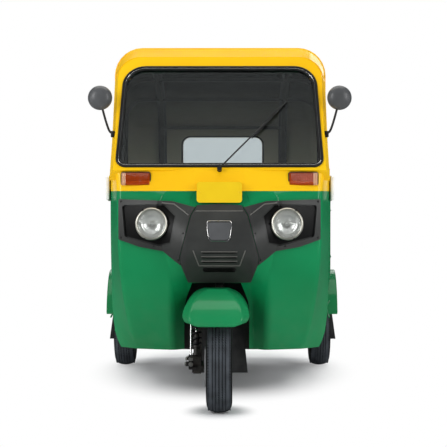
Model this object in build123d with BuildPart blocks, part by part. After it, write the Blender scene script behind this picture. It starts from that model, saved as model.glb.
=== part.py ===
"""Three-wheeled auto rickshaw: a green and yellow cab on one steered and two driven wheels.

Millimetres. X is across the vehicle, -Y is ahead, +Z is up. The origin is on the floor, below
the middle of the whole vehicle. Stations are distances back from the front axle.
"""
from build123d import *
from math import cos, radians, sin, tan
import os

# ---------------------------------------------------------------- driving dimensions
length = 2635
width = 1300
height = 1710
wheelbase = 2000
rear_track = 1123
tyre_radius = 207
tyre_width = 118
nose_reach = 240          # front fender ahead of the front axle
belt = 1080               # top of the body's sides
sill_bottom = 262
cowl_top = 1003           # where the green cowl meets the yellow scuttle
screen_base = 1110
screen_station = 112      # foot of the windscreen
screen_rake = 24.4        # degrees back from upright
steering_rake = 25.0      # degrees back from upright
wall = 12                 # body panels
canopy_wall = 6
fascia_depth = 18
recess_depth = 12         # headlamp pockets in the fascia
seat_gap = 0.3            # between a seated piece and its seat
running_gap = 6           # between a moving piece and its neighbours
bearing_gap = 0.1         # radial, pins and shafts


def back(station):
    """Y of a station measured back from the front axle."""
    return nose_reach - length / 2 + station


body_rear = length - nose_reach - 30      # station of the rear panel; the bumper is behind it

# ---------------------------------------------------------------- shape tables
# cowl: height, fold half-width and station, brow half-width and station,
# keel half-width and station, side half-width
cowl_rows = [
    (sill_bottom, 384, 262, 215, 205, 152, 262, 470),
    (335, 410, 215, 217, 165, 152, 240, 498),
    (560, 450, 130, 226, 100, 150, 140, 516),
    (660, 460, 112, 235, 66, 150, 20, 518),
    (800, 467, 104, 262, 36, 150, -30, 520),
    (cowl_top, 469, 110, 243, 76, 112, 52, 522),
]
scuttle_rows = [cowl_rows[-1], (screen_base, 478, 124, 243, 116, 112, 108, 522)]
cowl_radii = (30, 40, 25)                 # fold, brow, keel
cowl_rear = 360                           # station where the cowl's sides end

# roof: station, half-width, top, corner radius
roof_rows = [
    (352, 492, 1639, 115),
    (500, 505, 1692, 130),
    (1050, 535, height, 135),
    (1750, 575, 1655, 140),
    (2100, 585, 1565, 140),
    (2400, 585, 1490, 130),
]
visor_end = 500                           # station where the steel visor meets the canopy
valance = 1440                            # lower edge of the roof above the doorways

# ---------------------------------------------------------------- shared shapes


def cowl_outline(row, extra):
    """Closed plan outline of one cowl row, its sides run on past the cowl's rear by extra."""
    fold_x, fold_y, brow_x, brow_y, keel_x, keel_y, side_x = row[1:]
    flare = (side_x - fold_x) / (cowl_rear - fold_y)
    side = (side_x + flare * extra, cowl_rear + extra)
    half = [side, (fold_x, fold_y), (brow_x, brow_y), (keel_x, keel_y)]
    points = [(-x, back(y)) for x, y in half] + [(x, back(y)) for x, y in reversed(half)]
    radii = list(cowl_radii) + list(reversed(cowl_radii))
    FilletPolyline(*points, radius=radii)
    Line(points[-1], points[0])


def cowl_hull(rows, grow):
    """Solid through the rows, each outline grown by the given amount."""
    with BuildPart() as hull:
        for row in rows:
            with BuildSketch(Plane.XY.offset(row[0])):
                with BuildLine():
                    cowl_outline(row, 3 * wall)
                make_face()
                if grow:
                    offset(amount=grow, mode=Mode.REPLACE)
        loft()
    return hull.part


def roof_section(half_width, top, radius, foot, inset):
    """Arch-shaped face, open below the belt line at foot."""
    x, z = half_width - inset, top - inset
    with BuildLine() as outline:
        FilletPolyline((-x, foot), (-x, z), (x, z), (x, foot), radius=radius - inset)
        Line((x, foot), (-x, foot))
    make_face(outline.edges())


def roof_hull(inset):
    """Solid under the roof, drawn in by inset on all its outer faces."""
    with BuildPart() as hull:
        for station, half_width, top, radius in roof_rows:
            with BuildSketch(Plane.XZ.offset(-back(station))):
                roof_section(half_width, top, radius, belt - 60, inset)
        loft(ruled=True)
        with BuildSketch(Plane.YZ.offset(-width / 2)):
            with BuildLine():
                rear_line = [(roof_rows[0][0] - 10, belt - 80), (roof_rows[0][0] - 10, height + 90),
                             (1650, height + 190), (2330, 1400), (body_rear - 2, belt - 80)]
                points = [(back(y), z) for y, z in rear_line]
                FilletPolyline(*points, radius=[1, 1, 160])
                Line(points[-1], points[0])
            make_face()
            if inset:
                offset(amount=-inset, mode=Mode.REPLACE)
        extrude(amount=width, mode=Mode.INTERSECT)
    return hull.part


screen_plane = Plane(
    origin=(0, back(screen_station), screen_base),
    x_dir=(1, 0, 0),
    z_dir=(0, -cos(radians(screen_rake)), sin(radians(screen_rake))),
)


def up_screen(z):
    """Distance up the windscreen's plane for a height."""
    return (z - screen_base) / cos(radians(screen_rake))


opening_foot = up_screen(screen_base + 4)
opening_head = up_screen(1590)
opening_foot_half = 476
opening_head_half = 455
opening_foot_radius = 42
opening_head_radius = 105


def screen_opening(inset):
    """Face of the windscreen's opening, drawn in by inset."""
    foot, head = opening_foot + inset, opening_head - inset
    low, high = opening_foot_half - inset, opening_head_half - inset
    foot_radius = max(opening_foot_radius - inset, 2)
    head_radius = max(opening_head_radius - inset, 2)
    points = [(-low, foot), (-high, head), (high, head), (low, foot)]
    with BuildLine() as outline:
        FilletPolyline(*points, radius=[foot_radius, head_radius, head_radius, foot_radius],
                       close=True)
    make_face(outline.edges())


def finish(builder, name):
    """Label a finished piece and write it."""
    builder.part.label = name
    export_step(builder.part, f"parts/{name}.step")
    print(name, len(builder.part.solids()), round(builder.part.volume / 1e6, 3), "litres")


def rounded_box(x_half, y0, y1, z0, z1, radius, x_mid=0):
    """Box between two stations and two heights, all edges rounded."""
    with Locations((x_mid, back((y0 + y1) / 2), (z0 + z1) / 2)):
        block = Box(2 * x_half, y1 - y0, z1 - z0)
    if radius:
        fillet(block.edges(), radius)


os.makedirs("parts", exist_ok=True)

# ---------------------------------------------------------------- cowl and fascia
arch_half = 152           # half-width of the wheel's arch
arch_top = 580
arch_shift = -14                          # the wheel's arch and fender sit towards the fork leg
arch_mouth = [(arch_half, 442), (146, 490), (132, 530), (112, arch_top)]   # half-width and height
lamp_x, lamp_z = 308, 853
lamp_radius = 70
lamp_face = 10                            # station of the lamp's chrome rim
lamp_depth = 84
lamp_places = [Location((x, back(lamp_face), lamp_z), (-90, 0, 0)) for x in (-lamp_x, lamp_x)]
cowl = cowl_hull(cowl_rows, 0)

with BuildPart() as front_cowl:
    add(cowl)
    add(cowl_hull(cowl_rows, -wall), mode=Mode.SUBTRACT)
    with BuildSketch(Plane.XZ.offset(-back(cowl_rear))):
        with BuildLine():
            half = [(arch_half, sill_bottom - 20)] + arch_mouth
            points = [(arch_shift - x, z) for x, z in half]
            points += [(arch_shift + x, z) for x, z in reversed(half)]
            Polyline(*points, close=True)
        make_face()
    extrude(amount=2 * cowl_rear, mode=Mode.SUBTRACT)
    with Locations(*lamp_places):
        Cylinder(lamp_radius + seat_gap, 2 * lamp_depth, mode=Mode.SUBTRACT)
    split(bisect_by=Plane.XZ.offset(-back(cowl_rear)), keep=Keep.TOP)
finish(front_cowl, "front_cowl")

# half outlines seen from ahead, right-hand side, across and up
seam_gap = 2
center_outline = [
    (0, 945), (100, 940), (128, 895), (180, 700), (175, 664), (145, arch_top + 2), (0, arch_top),
]
side_outline = [
    (104, 937), (113, 930), (216, 958), (464, 966), (464, 781), (366, 747),
    (256, 728), (201, 683), (176, 664), (181, 700), (130, 895),
]
recess_outline = [(447, 939), (250, 943), (196, 889), (219, 765), (274, 752), (434, 793)]
recess_radius = 14
fascia_ahead = -200                       # station ahead of every fascia face
fascia_behind = 200


def prism(outline, side, grow=0, radius=0):
    """Solid block along Y behind a half outline, on the side given by +1 or -1."""
    with BuildPart() as block:
        with BuildSketch(Plane.XZ.offset(-back(fascia_behind))):
            with BuildLine():
                Polyline(*[(side * x, z) for x, z in outline], close=True)
            face = make_face()
            if radius:
                fillet(face.vertices(), radius)
            if grow:
                offset(amount=grow, kind=Kind.INTERSECTION)
        extrude(amount=fascia_behind - fascia_ahead)
    return block.part


proud = cowl_hull(cowl_rows, fascia_depth)
pocket_floor = cowl_hull(cowl_rows, fascia_depth - recess_depth)

with BuildPart() as fascia_center:
    add(prism(center_outline, 1, -seam_gap / 2))
    add(prism(center_outline, -1, -seam_gap / 2))
    with Locations((0, back(0), 760)):
        Box(3 * seam_gap, 400, 360)
    add(proud, mode=Mode.INTERSECT)
    add(cowl, mode=Mode.SUBTRACT)
finish(fascia_center, "fascia_center")

with BuildPart() as pockets:
    for side in (-1, 1):
        add(prism(recess_outline, side, radius=recess_radius))
    add(pocket_floor, mode=Mode.INTERSECT)

with BuildPart() as fascia_sides:
    for side in (-1, 1):
        add(prism(side_outline, side, -seam_gap / 4))
        add(prism(recess_outline, side, radius=recess_radius), mode=Mode.SUBTRACT)
    add(proud, mode=Mode.INTERSECT)
    add(pockets.part)
    add(cowl, mode=Mode.SUBTRACT)
    with Locations(*lamp_places):
        Cylinder(lamp_radius + seat_gap, 4 * lamp_depth, mode=Mode.SUBTRACT)
finish(fascia_sides, "fascia_sides")

# ---------------------------------------------------------------- lamps and name plate
lamp_shell = 5
lens_radius = 64
lens_dome = 9
lens_thickness = 5
lamp_align = (Align.CENTER, Align.CENTER, Align.MIN)

with BuildPart() as headlamp_shells:
    with Locations(*lamp_places):
        Cylinder(lamp_radius, lamp_depth, align=lamp_align)
        Cylinder(lens_radius, lamp_depth - lamp_shell, align=lamp_align, mode=Mode.SUBTRACT)
finish(headlamp_shells, "headlamp_shells")

with BuildPart() as headlamp_lenses:
    for x in (-lamp_x, lamp_x):
        with BuildSketch(Plane.XY.offset(lamp_z)):
            with BuildLine():
                edge, face = x + lens_radius - seat_gap, back(lamp_face)
                ThreePointArc((x, face - lens_dome), ((x + edge) / 2, face - lens_dome * 0.75), (edge, face))
                Polyline((edge, face), (edge, face + lens_thickness), (x, face + lens_thickness),
                         (x, face - lens_dome))
            make_face()
        revolve(axis=Axis((x, back(lamp_face), lamp_z), (0, 1, 0)))
finish(headlamp_lenses, "headlamp_lenses")

signal_inner, signal_outer = 320, 450
signal_low, signal_high = 1029, 1087
signal_face = 92
scuttle_seat = cowl_hull(scuttle_rows, seat_gap)
with BuildPart() as turn_signals:
    for side in (-1, 1):
        rounded_box((signal_outer - signal_inner) / 2, signal_face, 150, signal_low, signal_high, 8,
                    side * (signal_inner + signal_outer) / 2)
    add(scuttle_seat, mode=Mode.SUBTRACT)
finish(turn_signals, "turn_signals")

plate_half = 103
plate_low, plate_high = 950, 1044
plate_face = 28
plate_radius = 14
with BuildPart() as name_plate:
    with BuildSketch(Plane.XZ.offset(-back(130))):
        with Locations((0, (plate_low + plate_high) / 2)):
            RectangleRounded(2 * plate_half, plate_high - plate_low, plate_radius)
    extrude(amount=130 - plate_face)
    add(scuttle_seat, mode=Mode.SUBTRACT)
    add(cowl_hull(cowl_rows, fascia_depth + seat_gap), mode=Mode.SUBTRACT)
finish(name_plate, "name_plate")

# ---------------------------------------------------------------- windscreen
frame_depth = 70
frame_flare = 16                          # degrees that the pillars widen rearwards
frame_foot_half = 490
frame_waist_half = 484
frame_waist = up_screen(1272)
frame_head = up_screen(roof_rows[0][2] - 3)
frame_head_half = 479
frame_head_radius = 112

roof_skin_outer = roof_hull(0)
roof_skin_inner = roof_hull(canopy_wall)

with BuildPart() as roof_skin:
    add(roof_skin_outer)
    add(roof_skin_inner, mode=Mode.SUBTRACT)

with BuildPart() as screen_surround:
    add(cowl_hull(scuttle_rows, 0))
    add(cowl_hull(scuttle_rows, -wall), mode=Mode.SUBTRACT)
    split(bisect_by=Plane.XZ.offset(-back(cowl_rear)), keep=Keep.TOP)
    with BuildSketch(screen_plane):
        with BuildLine():
            frame_points = [
                (-frame_foot_half, -12), (-frame_waist_half, frame_waist), (-frame_head_half, frame_head),
                (frame_head_half, frame_head), (frame_waist_half, frame_waist), (frame_foot_half, -12),
            ]
            FilletPolyline(*frame_points, radius=[90, frame_head_radius, frame_head_radius, 90])
            Line(frame_points[-1], frame_points[0])
        make_face()
    extrude(amount=-frame_depth, taper=-frame_flare)
    with BuildSketch(screen_plane.offset(60)):
        screen_opening(0)
    extrude(amount=-60 - 3 * frame_depth, mode=Mode.SUBTRACT)
    with BuildPart(mode=Mode.PRIVATE) as visor:
        add(roof_skin.part)
        with Locations((0, back((300 + visor_end) / 2), (valance + height + 50) / 2)):
            Box(width, visor_end - 300, height + 50 - valance, mode=Mode.INTERSECT)
        split(bisect_by=screen_plane.offset(-1), keep=Keep.BOTTOM)
    add(visor.part)
finish(screen_surround, "screen_surround")

gasket_width = 17
gasket_proud = 4
gasket_back = 12
glass_grip = 6
glass_thickness = 5
glass_depth = 5                           # glass face below the frame's face
with BuildPart() as windscreen_gasket:
    with BuildSketch(screen_plane.offset(gasket_proud)):
        screen_opening(seat_gap)
    extrude(amount=-gasket_proud - gasket_back)
    with BuildSketch(screen_plane.offset(gasket_proud)):
        screen_opening(gasket_width)
    extrude(amount=-gasket_proud - gasket_back, mode=Mode.SUBTRACT)
    with BuildSketch(screen_plane.offset(-glass_depth + seat_gap)):
        screen_opening(gasket_width - glass_grip)
    extrude(amount=-glass_thickness - 2 * seat_gap, mode=Mode.SUBTRACT)
finish(windscreen_gasket, "windscreen_gasket")

with BuildPart() as windscreen:
    with BuildSketch(screen_plane.offset(-glass_depth)):
        screen_opening(gasket_width - glass_grip + seat_gap)
    extrude(amount=-glass_thickness)
finish(windscreen, "windscreen")

wiper_height = 16
wiper_pivot = (0, -14)
wiper_elbow = (196, 204)
blade_ends = [(150, 148), (318, 348)]
with BuildPart() as wiper:
    with BuildSketch(screen_plane.offset(wiper_height)):
        with BuildLine():
            Line(wiper_pivot, wiper_elbow)
        trace(line_width=11)
    extrude(amount=5)
    with BuildSketch(screen_plane.offset(wiper_height - 14)):
        with BuildLine():
            Line(*blade_ends)
        trace(line_width=10)
    extrude(amount=15)
    with BuildSketch(screen_plane.offset(wiper_height + 5)):
        with Locations(wiper_pivot):
            Circle(13)
    extrude(amount=-60)
    add(scuttle_seat, mode=Mode.SUBTRACT)
finish(wiper, "wiper")

# ---------------------------------------------------------------- canopy and its frame
window_half = 236
window_low, window_high = 1112, 1330
window_radius = 45
doorway_rear = 1590                       # rear edge of the passenger's doorway
canopy_front = visor_end + 1
with BuildPart() as canopy:
    add(roof_skin.part)
    with Locations((0, back(canopy_front + 1500), (belt + height + 100) / 2)):
        Box(width, 3000, height + 100 - belt, mode=Mode.INTERSECT)
    with Locations((0, back(doorway_rear - 1000), (belt + valance) / 2 - 20)):
        Box(2 * width, 2000, valance - belt + 40, mode=Mode.SUBTRACT)
    with BuildSketch(Plane.XZ.offset(-back(body_rear + 60))):
        with Locations((0, (window_low + window_high) / 2)):
            RectangleRounded(2 * window_half, window_high - window_low, window_radius)
    extrude(amount=300, mode=Mode.SUBTRACT)
finish(canopy, "canopy")

with BuildPart() as rear_window:
    with BuildSketch(Plane.XZ.offset(-back(body_rear + 60))):
        with Locations((0, (window_low + window_high) / 2)):
            RectangleRounded(2 * window_half - 2 * seat_gap, window_high - window_low - 2 * seat_gap,
                             window_radius - seat_gap)
    extrude(amount=300)
    add(roof_skin.part, mode=Mode.INTERSECT)
finish(rear_window, "rear_window")

bow_size = 20
bow_gap = canopy_wall + 4
bow_foot = belt - 40
sill_top = 400
bows = [(roof_rows[2], sill_top + seat_gap), (roof_rows[3], bow_foot), (roof_rows[4], bow_foot)]
rib_half = 360
with BuildPart() as canopy_frame:
    for (station, half_width, top, radius), foot in bows:
        with BuildSketch(Plane.XZ.offset(-back(station + bow_size / 2))):
            roof_section(half_width, top, radius, foot, bow_gap)
        extrude(amount=bow_size)
    for (station, half_width, top, radius), foot in bows:
        with BuildSketch(Plane.XZ.offset(-back(station + bow_size))):
            roof_section(half_width, top, radius, foot - 1, bow_gap + bow_size)
        extrude(amount=2 * bow_size, mode=Mode.SUBTRACT)
    under = bow_gap + 1
    spine = [(y, top - under) for y, _, top, _ in roof_rows[1:5]]
    spine += [(2286 - under, 1418 - under), (body_rear - 6 - under, belt)]
    lower = [(y, z - bow_size) for y, z in spine[:4]]
    lower += [(spine[4][0] - bow_size * 0.6, spine[4][1] - bow_size * 0.9), (spine[5][0] - bow_size, belt)]
    for side in (-1, 1):
        with BuildSketch(Plane.YZ.offset(side * rib_half - bow_size / 2)):
            with BuildLine():
                Polyline(*[(back(y), z) for y, z in spine + lower[::-1]], close=True)
            make_face()
        extrude(amount=bow_size)
    with Locations((0, back(2286 - under - bow_size / 2), 1418 - under - bow_size)):
        Box(2 * rib_half, bow_size, bow_size)
    add(roof_skin.part, mode=Mode.SUBTRACT)
finish(canopy_frame, "canopy_frame")

# ---------------------------------------------------------------- body tub
tub_line = [(cowl_rear + 1, 522), (1050, 548), (1600, 604), (2000, 624), (body_rear, 596)]
tub_tuck = [(sill_bottom, 50), (335, 22), (560, 0), (belt, 0)]   # height, how far the sides draw in
tub_wall = 16
tub_corner = 80
rear_panel_half = 450
arch_radius = 255
arch_lift = 45                            # the wheel arch's centre above the axle
flare_radius = 300
flare_foot = 315                          # lower ends of the wheel's flare
flare_depth = 76
quarter_front = 1500


def tub_outline(inset, tuck=0):
    """Closed plan outline of the body tub, drawn in by inset and its sides by tuck as well."""
    half = [(x - inset - tuck, back(min(y, body_rear - inset))) for y, x in tub_line]
    half[0] = (half[0][0], half[0][1] - inset)
    points = [(-x, y) for x, y in half] + [(x, y) for x, y in reversed(half)]
    corner = tub_corner - inset
    with BuildLine() as outline:
        FilletPolyline(*points, radius=[200, 200, 200, corner, corner, 200, 200, 200])
        Line(points[-1], points[0])
    make_face(outline.edges())


def tub_half(station):
    """Half-width of the tub's outer face at a station ahead of its rear corner."""
    rows = zip(tub_line, tub_line[1:])
    (y0, x0), (y1, x1) = next(pair for pair in rows if station <= pair[1][0])
    return x0 + (x1 - x0) * (station - y0) / (y1 - y0)


def tub_hull(inset):
    """Solid inside the body tub's sides, drawn in by inset."""
    with BuildPart() as hull:
        for z, tuck in tub_tuck:
            with BuildSketch(Plane.XY.offset(z)):
                tub_outline(inset, tuck)
        loft(ruled=True)
    return hull.part


with BuildPart() as tub:
    add(tub_hull(0))
    add(tub_hull(tub_wall), mode=Mode.SUBTRACT)

arch_centre = (back(wheelbase), tyre_radius + arch_lift)
with BuildPart() as side_cut:
    with BuildSketch(Plane.YZ.offset(-width)):
        with BuildLine():
            cut_points = [(cowl_rear + 1, sill_bottom), (cowl_rear + 1, sill_top), (quarter_front, sill_top),
                          (quarter_front + 70, belt), (length, belt), (length, 330), (2260, sill_bottom)]
            points = [(back(y), z) for y, z in cut_points]
            FilletPolyline(*points, radius=[1, 90, 1, 1, 1])
            Line(points[-1], points[0])
        make_face()
        with Locations(arch_centre):
            Circle(arch_radius, mode=Mode.SUBTRACT)
    extrude(amount=2 * width)


with BuildPart() as side_panel_left:
    add(tub.part)
    add(side_cut.part, mode=Mode.INTERSECT)
    with Locations((rear_panel_half + width / 2, 0, (belt + sill_bottom) / 2)):
        Box(width, 2 * length, belt, mode=Mode.INTERSECT)
    with BuildSketch(Plane.YZ.offset(width / 2 - flare_depth)):
        with Locations(arch_centre):
            Circle(flare_radius)
            Circle(arch_radius, mode=Mode.SUBTRACT)
        with Locations((arch_centre[0], flare_foot - flare_radius)):
            Rectangle(3 * flare_radius, 2 * flare_radius, mode=Mode.SUBTRACT)
    extrude(amount=flare_depth)
finish(side_panel_left, "side_panel_left")

with BuildPart() as side_panel_right:
    mirror(side_panel_left.part, about=Plane.YZ)
finish(side_panel_right, "side_panel_right")
side_panels = [side_panel_left.part, side_panel_right.part]

door_half = 380
door_low, door_high = 430, 860
door_gap = running_gap
with BuildPart() as rear_panel:
    add(tub.part)
    with Locations((0, back(body_rear), (belt + sill_bottom) / 2 + 30)):
        Box(2 * rear_panel_half - 2 * seat_gap, 200, belt - sill_bottom, mode=Mode.INTERSECT)
    with Locations((0, back(body_rear), (door_low + door_high) / 2)):
        Box(2 * door_half, 200, door_high - door_low, mode=Mode.SUBTRACT)
finish(rear_panel, "rear_panel")

hinge_radius = 6
hinge_station = body_rear + 9
hinge_z = door_high + 2
pin_radius = 3
with BuildPart() as engine_door:
    with Locations((0, back(body_rear - tub_wall / 2), (door_low + door_high) / 2)):
        Box(2 * (door_half - door_gap), tub_wall, door_high - door_low - 2 * door_gap)
    for x in (-250, 250):
        with Locations((x, back(hinge_station), hinge_z)):
            Cylinder(hinge_radius, 40, rotation=(0, 90, 0))
        with Locations((x, back(body_rear + 4.5), hinge_z - 14)):
            Box(40, 9, 24)
        with Locations((x, back(hinge_station), hinge_z)):
            Cylinder(pin_radius + bearing_gap, 60, rotation=(0, 90, 0), mode=Mode.SUBTRACT)
finish(engine_door, "engine_door")

with BuildPart() as door_hinges:
    for x in (-250, 250):
        with Locations((x, back(hinge_station), hinge_z)):
            Cylinder(pin_radius, 100, rotation=(0, 90, 0))
        for reach in (-36, 36):
            with Locations((x + reach, back(hinge_station), hinge_z)):
                Cylinder(hinge_radius, 24, rotation=(0, 90, 0))
            with Locations((x + reach, back(body_rear + 4.5 + seat_gap / 2), hinge_z + 14)):
                Box(24, 9 - seat_gap, 28)
finish(door_hinges, "door_hinges")

# ---------------------------------------------------------------- tail lamps and bumper
tail_x, tail_z = 505, 640
tail_half, tail_half_height = 32, 75
with BuildPart() as tail_lamps:
    for side in (-1, 1):
        rounded_box(tail_half, body_rear - 30, body_rear + 22, tail_z - tail_half_height,
                    tail_z + tail_half_height, 8, side * tail_x)
    with BuildSketch(Plane.XY.offset(sill_bottom)):
        tub_outline(-seat_gap)
    extrude(amount=belt, mode=Mode.SUBTRACT)
finish(tail_lamps, "tail_lamps")

bumper_low, bumper_high = 330, 400
with BuildPart() as rear_bumper:
    rounded_box(430, body_rear + seat_gap, length - nose_reach, bumper_low, bumper_high, 8)
finish(rear_bumper, "rear_bumper")

# ---------------------------------------------------------------- steering axis
steering_angle = radians(steering_rake)


def column_station(z):
    """Station of the steering axis at a height."""
    return (z - tyre_radius) * tan(steering_angle)


def column_plane(z, offset=0):
    """Plane across the steering axis at a height."""
    plane = Plane(
        origin=(0, back(column_station(z)), z),
        x_dir=(1, 0, 0),
        z_dir=(0, sin(steering_angle), cos(steering_angle)),
    )
    return plane.offset(offset)


def column_rod(radius, low, high, mode=Mode.ADD):
    """Rod along the steering axis between two heights."""
    with BuildSketch(column_plane(low)) as disc:
        Circle(radius)
    extrude(disc.sketch, amount=(high - low) / cos(steering_angle), mode=mode)


# ---------------------------------------------------------------- floor, chassis, partition
floor_z = 300
floor_sheet = 8
floor_half = 440
arch_back = 305                           # station of the panel behind the front wheel
arch_panel_half = 395
arch_roof = 590
arch_front = 140
arch_sheet = 6
seat_front = 1700                         # front wall of the passengers' seat box
head_outer, head_inner = 30, 21
head_low, head_high = 650, 930
with BuildPart() as floor_pan:
    with Locations((0, back((arch_back + seat_front - seat_gap) / 2), floor_z - floor_sheet / 2)):
        Box(2 * floor_half, seat_front - seat_gap - arch_back, floor_sheet)
    with Locations((0, back(arch_back + arch_sheet / 2), (arch_roof + sill_bottom + arch_sheet) / 2 + 4)):
        Box(2 * arch_panel_half, arch_sheet, arch_roof + arch_sheet - sill_bottom - 8)
    with Locations((0, back((arch_front + arch_back) / 2), arch_roof + arch_sheet / 2)):
        Box(2 * arch_half, arch_back - arch_front, arch_sheet)
    column_rod(head_outer + seat_gap, arch_roof - 40, arch_roof + 60, mode=Mode.SUBTRACT)
    add(front_cowl.part, mode=Mode.SUBTRACT)
finish(floor_pan, "floor_pan")

rail_x, rail_width, rail_height = 260, 50, 40
rail_front, rail_rear = 330, 2330
rail_top = floor_z - floor_sheet
rail_mid = rail_top - rail_height / 2
with BuildPart() as chassis_frame:
    for side in (-1, 1):
        with Locations((side * rail_x, back((rail_front + rail_rear) / 2), rail_mid)):
            Box(rail_width, rail_rear - rail_front, rail_height)
    for station in (360, 1000, 1560, 2310):
        with Locations((0, back(station), rail_mid)):
            Box(2 * rail_x, 40, rail_height)
    for station in (440, 1000):
        with Locations((0, back(station), rail_mid)):
            Box(2 * (tub_half(station - 20) - tub_tuck[0][1] - tub_wall - seat_gap), 40, rail_height)
finish(chassis_frame, "chassis_frame")

post_station, post_width = 330, 30
with BuildPart() as steering_head:
    column_rod(head_outer, head_low, head_high)
    with Locations((0, back(post_station), (floor_z + 720) / 2)):
        Box(50, post_width, 720 - floor_z)
    with Locations((0, back((column_station(690) + post_station) / 2), 690)):
        Box(50, post_station - column_station(690), 60)
    with Locations((0, back(column_station(900)), 900)):
        Box(2 * 492, 40, 30)
    column_rod(head_inner, head_low - 100, head_high + 100, mode=Mode.SUBTRACT)
finish(steering_head, "steering_head")

dash_low, dash_rear = 925, 215
with BuildPart() as dashboard:
    with Locations((0, back(dash_rear - 150), (dash_low + cowl_top) / 2)):
        Box(2 * frame_foot_half, 300, cowl_top - dash_low - 1)
    add(cowl_hull(cowl_rows, -wall - seat_gap), mode=Mode.INTERSECT)
finish(dashboard, "dashboard")

partition_station = roof_rows[2][0]
partition_half = floor_half
partition_high = 960
with BuildPart() as partition:
    with Locations((0, back(partition_station - 22), (floor_z + partition_high) / 2)):
        Box(2 * partition_half, 20, partition_high - floor_z)
finish(partition, "partition")

driver_seat_high = 600
cushion = 80
with BuildPart() as driver_seat_base:
    with Locations((0, back(830), (floor_z + driver_seat_high) / 2)):
        Box(440, 340, driver_seat_high - floor_z)
finish(driver_seat_base, "driver_seat_base")

with BuildPart() as driver_seat:
    rounded_box(260, 640, 1000, driver_seat_high + seat_gap, driver_seat_high + cushion, 25)
finish(driver_seat, "driver_seat")

with BuildPart() as driver_backrest:
    rounded_box(220, partition_station - 92, partition_station - 32 - seat_gap, 720, 940, 22)
finish(driver_backrest, "driver_backrest")

bench_half = 500
bench_high = 620
bench_rear = 2150
box_half = 400
box_wall = 12
with BuildPart() as seat_box:
    with Locations((0, back(seat_front + box_wall / 2), (rail_top + bench_high) / 2)):
        Box(2 * 480, box_wall, bench_high - rail_top)
    with Locations((0, back((seat_front + 2330) / 2), bench_high - box_wall / 2)):
        Box(2 * 560, 2330 - seat_front, box_wall)
    for side in (-1, 1):
        with Locations((side * (box_half - box_wall / 2), back((seat_front + 2330) / 2),
                        (floor_z + bench_high) / 2)):
            Box(box_wall, 2330 - seat_front, bench_high - floor_z)
finish(seat_box, "seat_box")

with BuildPart() as passenger_seat:
    rounded_box(bench_half, seat_front + 10, bench_rear, bench_high + seat_gap, bench_high + 110, 32)
finish(passenger_seat, "passenger_seat")

with BuildPart() as passenger_backrest:
    rounded_box(bench_half - 10, bench_rear + 4, bench_rear + 94, bench_high + seat_gap, 1070, 32)
finish(passenger_backrest, "passenger_backrest")

# ---------------------------------------------------------------- engine and rear axle
engine_x = 150
engine_mid = wheelbase + 20
with BuildPart() as engine:
    rounded_box(engine_x, engine_mid - 170, engine_mid + 170, 175, 500, 20)
    with Locations((0, back(wheelbase), tyre_radius + 20)):
        Cylinder(60, 2 * engine_x + 80, rotation=(0, 90, 0))
finish(engine, "engine")

hub_inner = rear_track / 2 - 75           # inboard face of the rear hubs
stub_radius = 14
arm_pivot = (1560, 262)
with BuildPart() as rear_arms:
    for side in (-1, 1):
        with BuildSketch(Plane.YZ.offset(side * (hub_inner - 45) - 25)):
            with BuildLine():
                Line((back(arm_pivot[0]), arm_pivot[1]), (back(wheelbase), tyre_radius))
            trace(line_width=56)
            with Locations((back(wheelbase), tyre_radius)):
                Circle(48)
        extrude(amount=50)
        with Locations((side * (rail_x + hub_inner) / 2, back(arm_pivot[0]), arm_pivot[1])):
            Cylinder(20, hub_inner - rail_x - 50, rotation=(0, 90, 0))
        with Locations((side * (hub_inner + 45), back(wheelbase), tyre_radius)):
            Cylinder(stub_radius, 150, rotation=(0, 90, 0))
finish(rear_arms, "rear_arms")

with BuildPart() as drive_shafts:
    start, end = engine_x + 40 + seat_gap, hub_inner - 70 - seat_gap
    for side in (-1, 1):
        with Locations((side * (start + end) / 2, back(wheelbase), tyre_radius)):
            Cylinder(13, end - start, rotation=(0, 90, 0))
finish(drive_shafts, "drive_shafts")

shock_foot = 246
with BuildPart() as rear_shocks:
    for side in (-1, 1):
        shock_middle = (shock_foot + bench_high - box_wall) / 2
        with Locations((side * (hub_inner - 45), back(wheelbase - 60), shock_middle)):
            Cylinder(30, bench_high - box_wall - 2 * seat_gap - shock_foot)
finish(rear_shocks, "rear_shocks")

flap_outline = [(500, 330), (600, 330), (652, 300), (676, 125), (520, 125)]
flap_station = 2262
with BuildPart() as rear_mudflaps:
    for side in (-1, 1):
        with BuildSketch(Plane.XZ.offset(-back(flap_station))):
            with BuildLine():
                Polyline(*[(side * x, z) for x, z in flap_outline], close=True)
            make_face()
        extrude(amount=5)
    add(side_panels, mode=Mode.SUBTRACT)
finish(rear_mudflaps, "rear_mudflaps")

# ---------------------------------------------------------------- wheels
rim_radius = 108
flange_radius = 122
bore = stub_radius + bearing_gap


def ring_about(x_mid, y_mid, z_mid, profile):
    """Ring turned about a wheel's axle from a profile of (across, radius) points."""
    with BuildSketch(Plane(origin=(x_mid, y_mid, z_mid), x_dir=(1, 0, 0), z_dir=(0, -1, 0))) as half:
        with BuildLine():
            Polyline(*profile, close=True)
        make_face()
    revolve(half.sketch, axis=Axis((x_mid, y_mid, z_mid), (1, 0, 0)))


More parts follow.
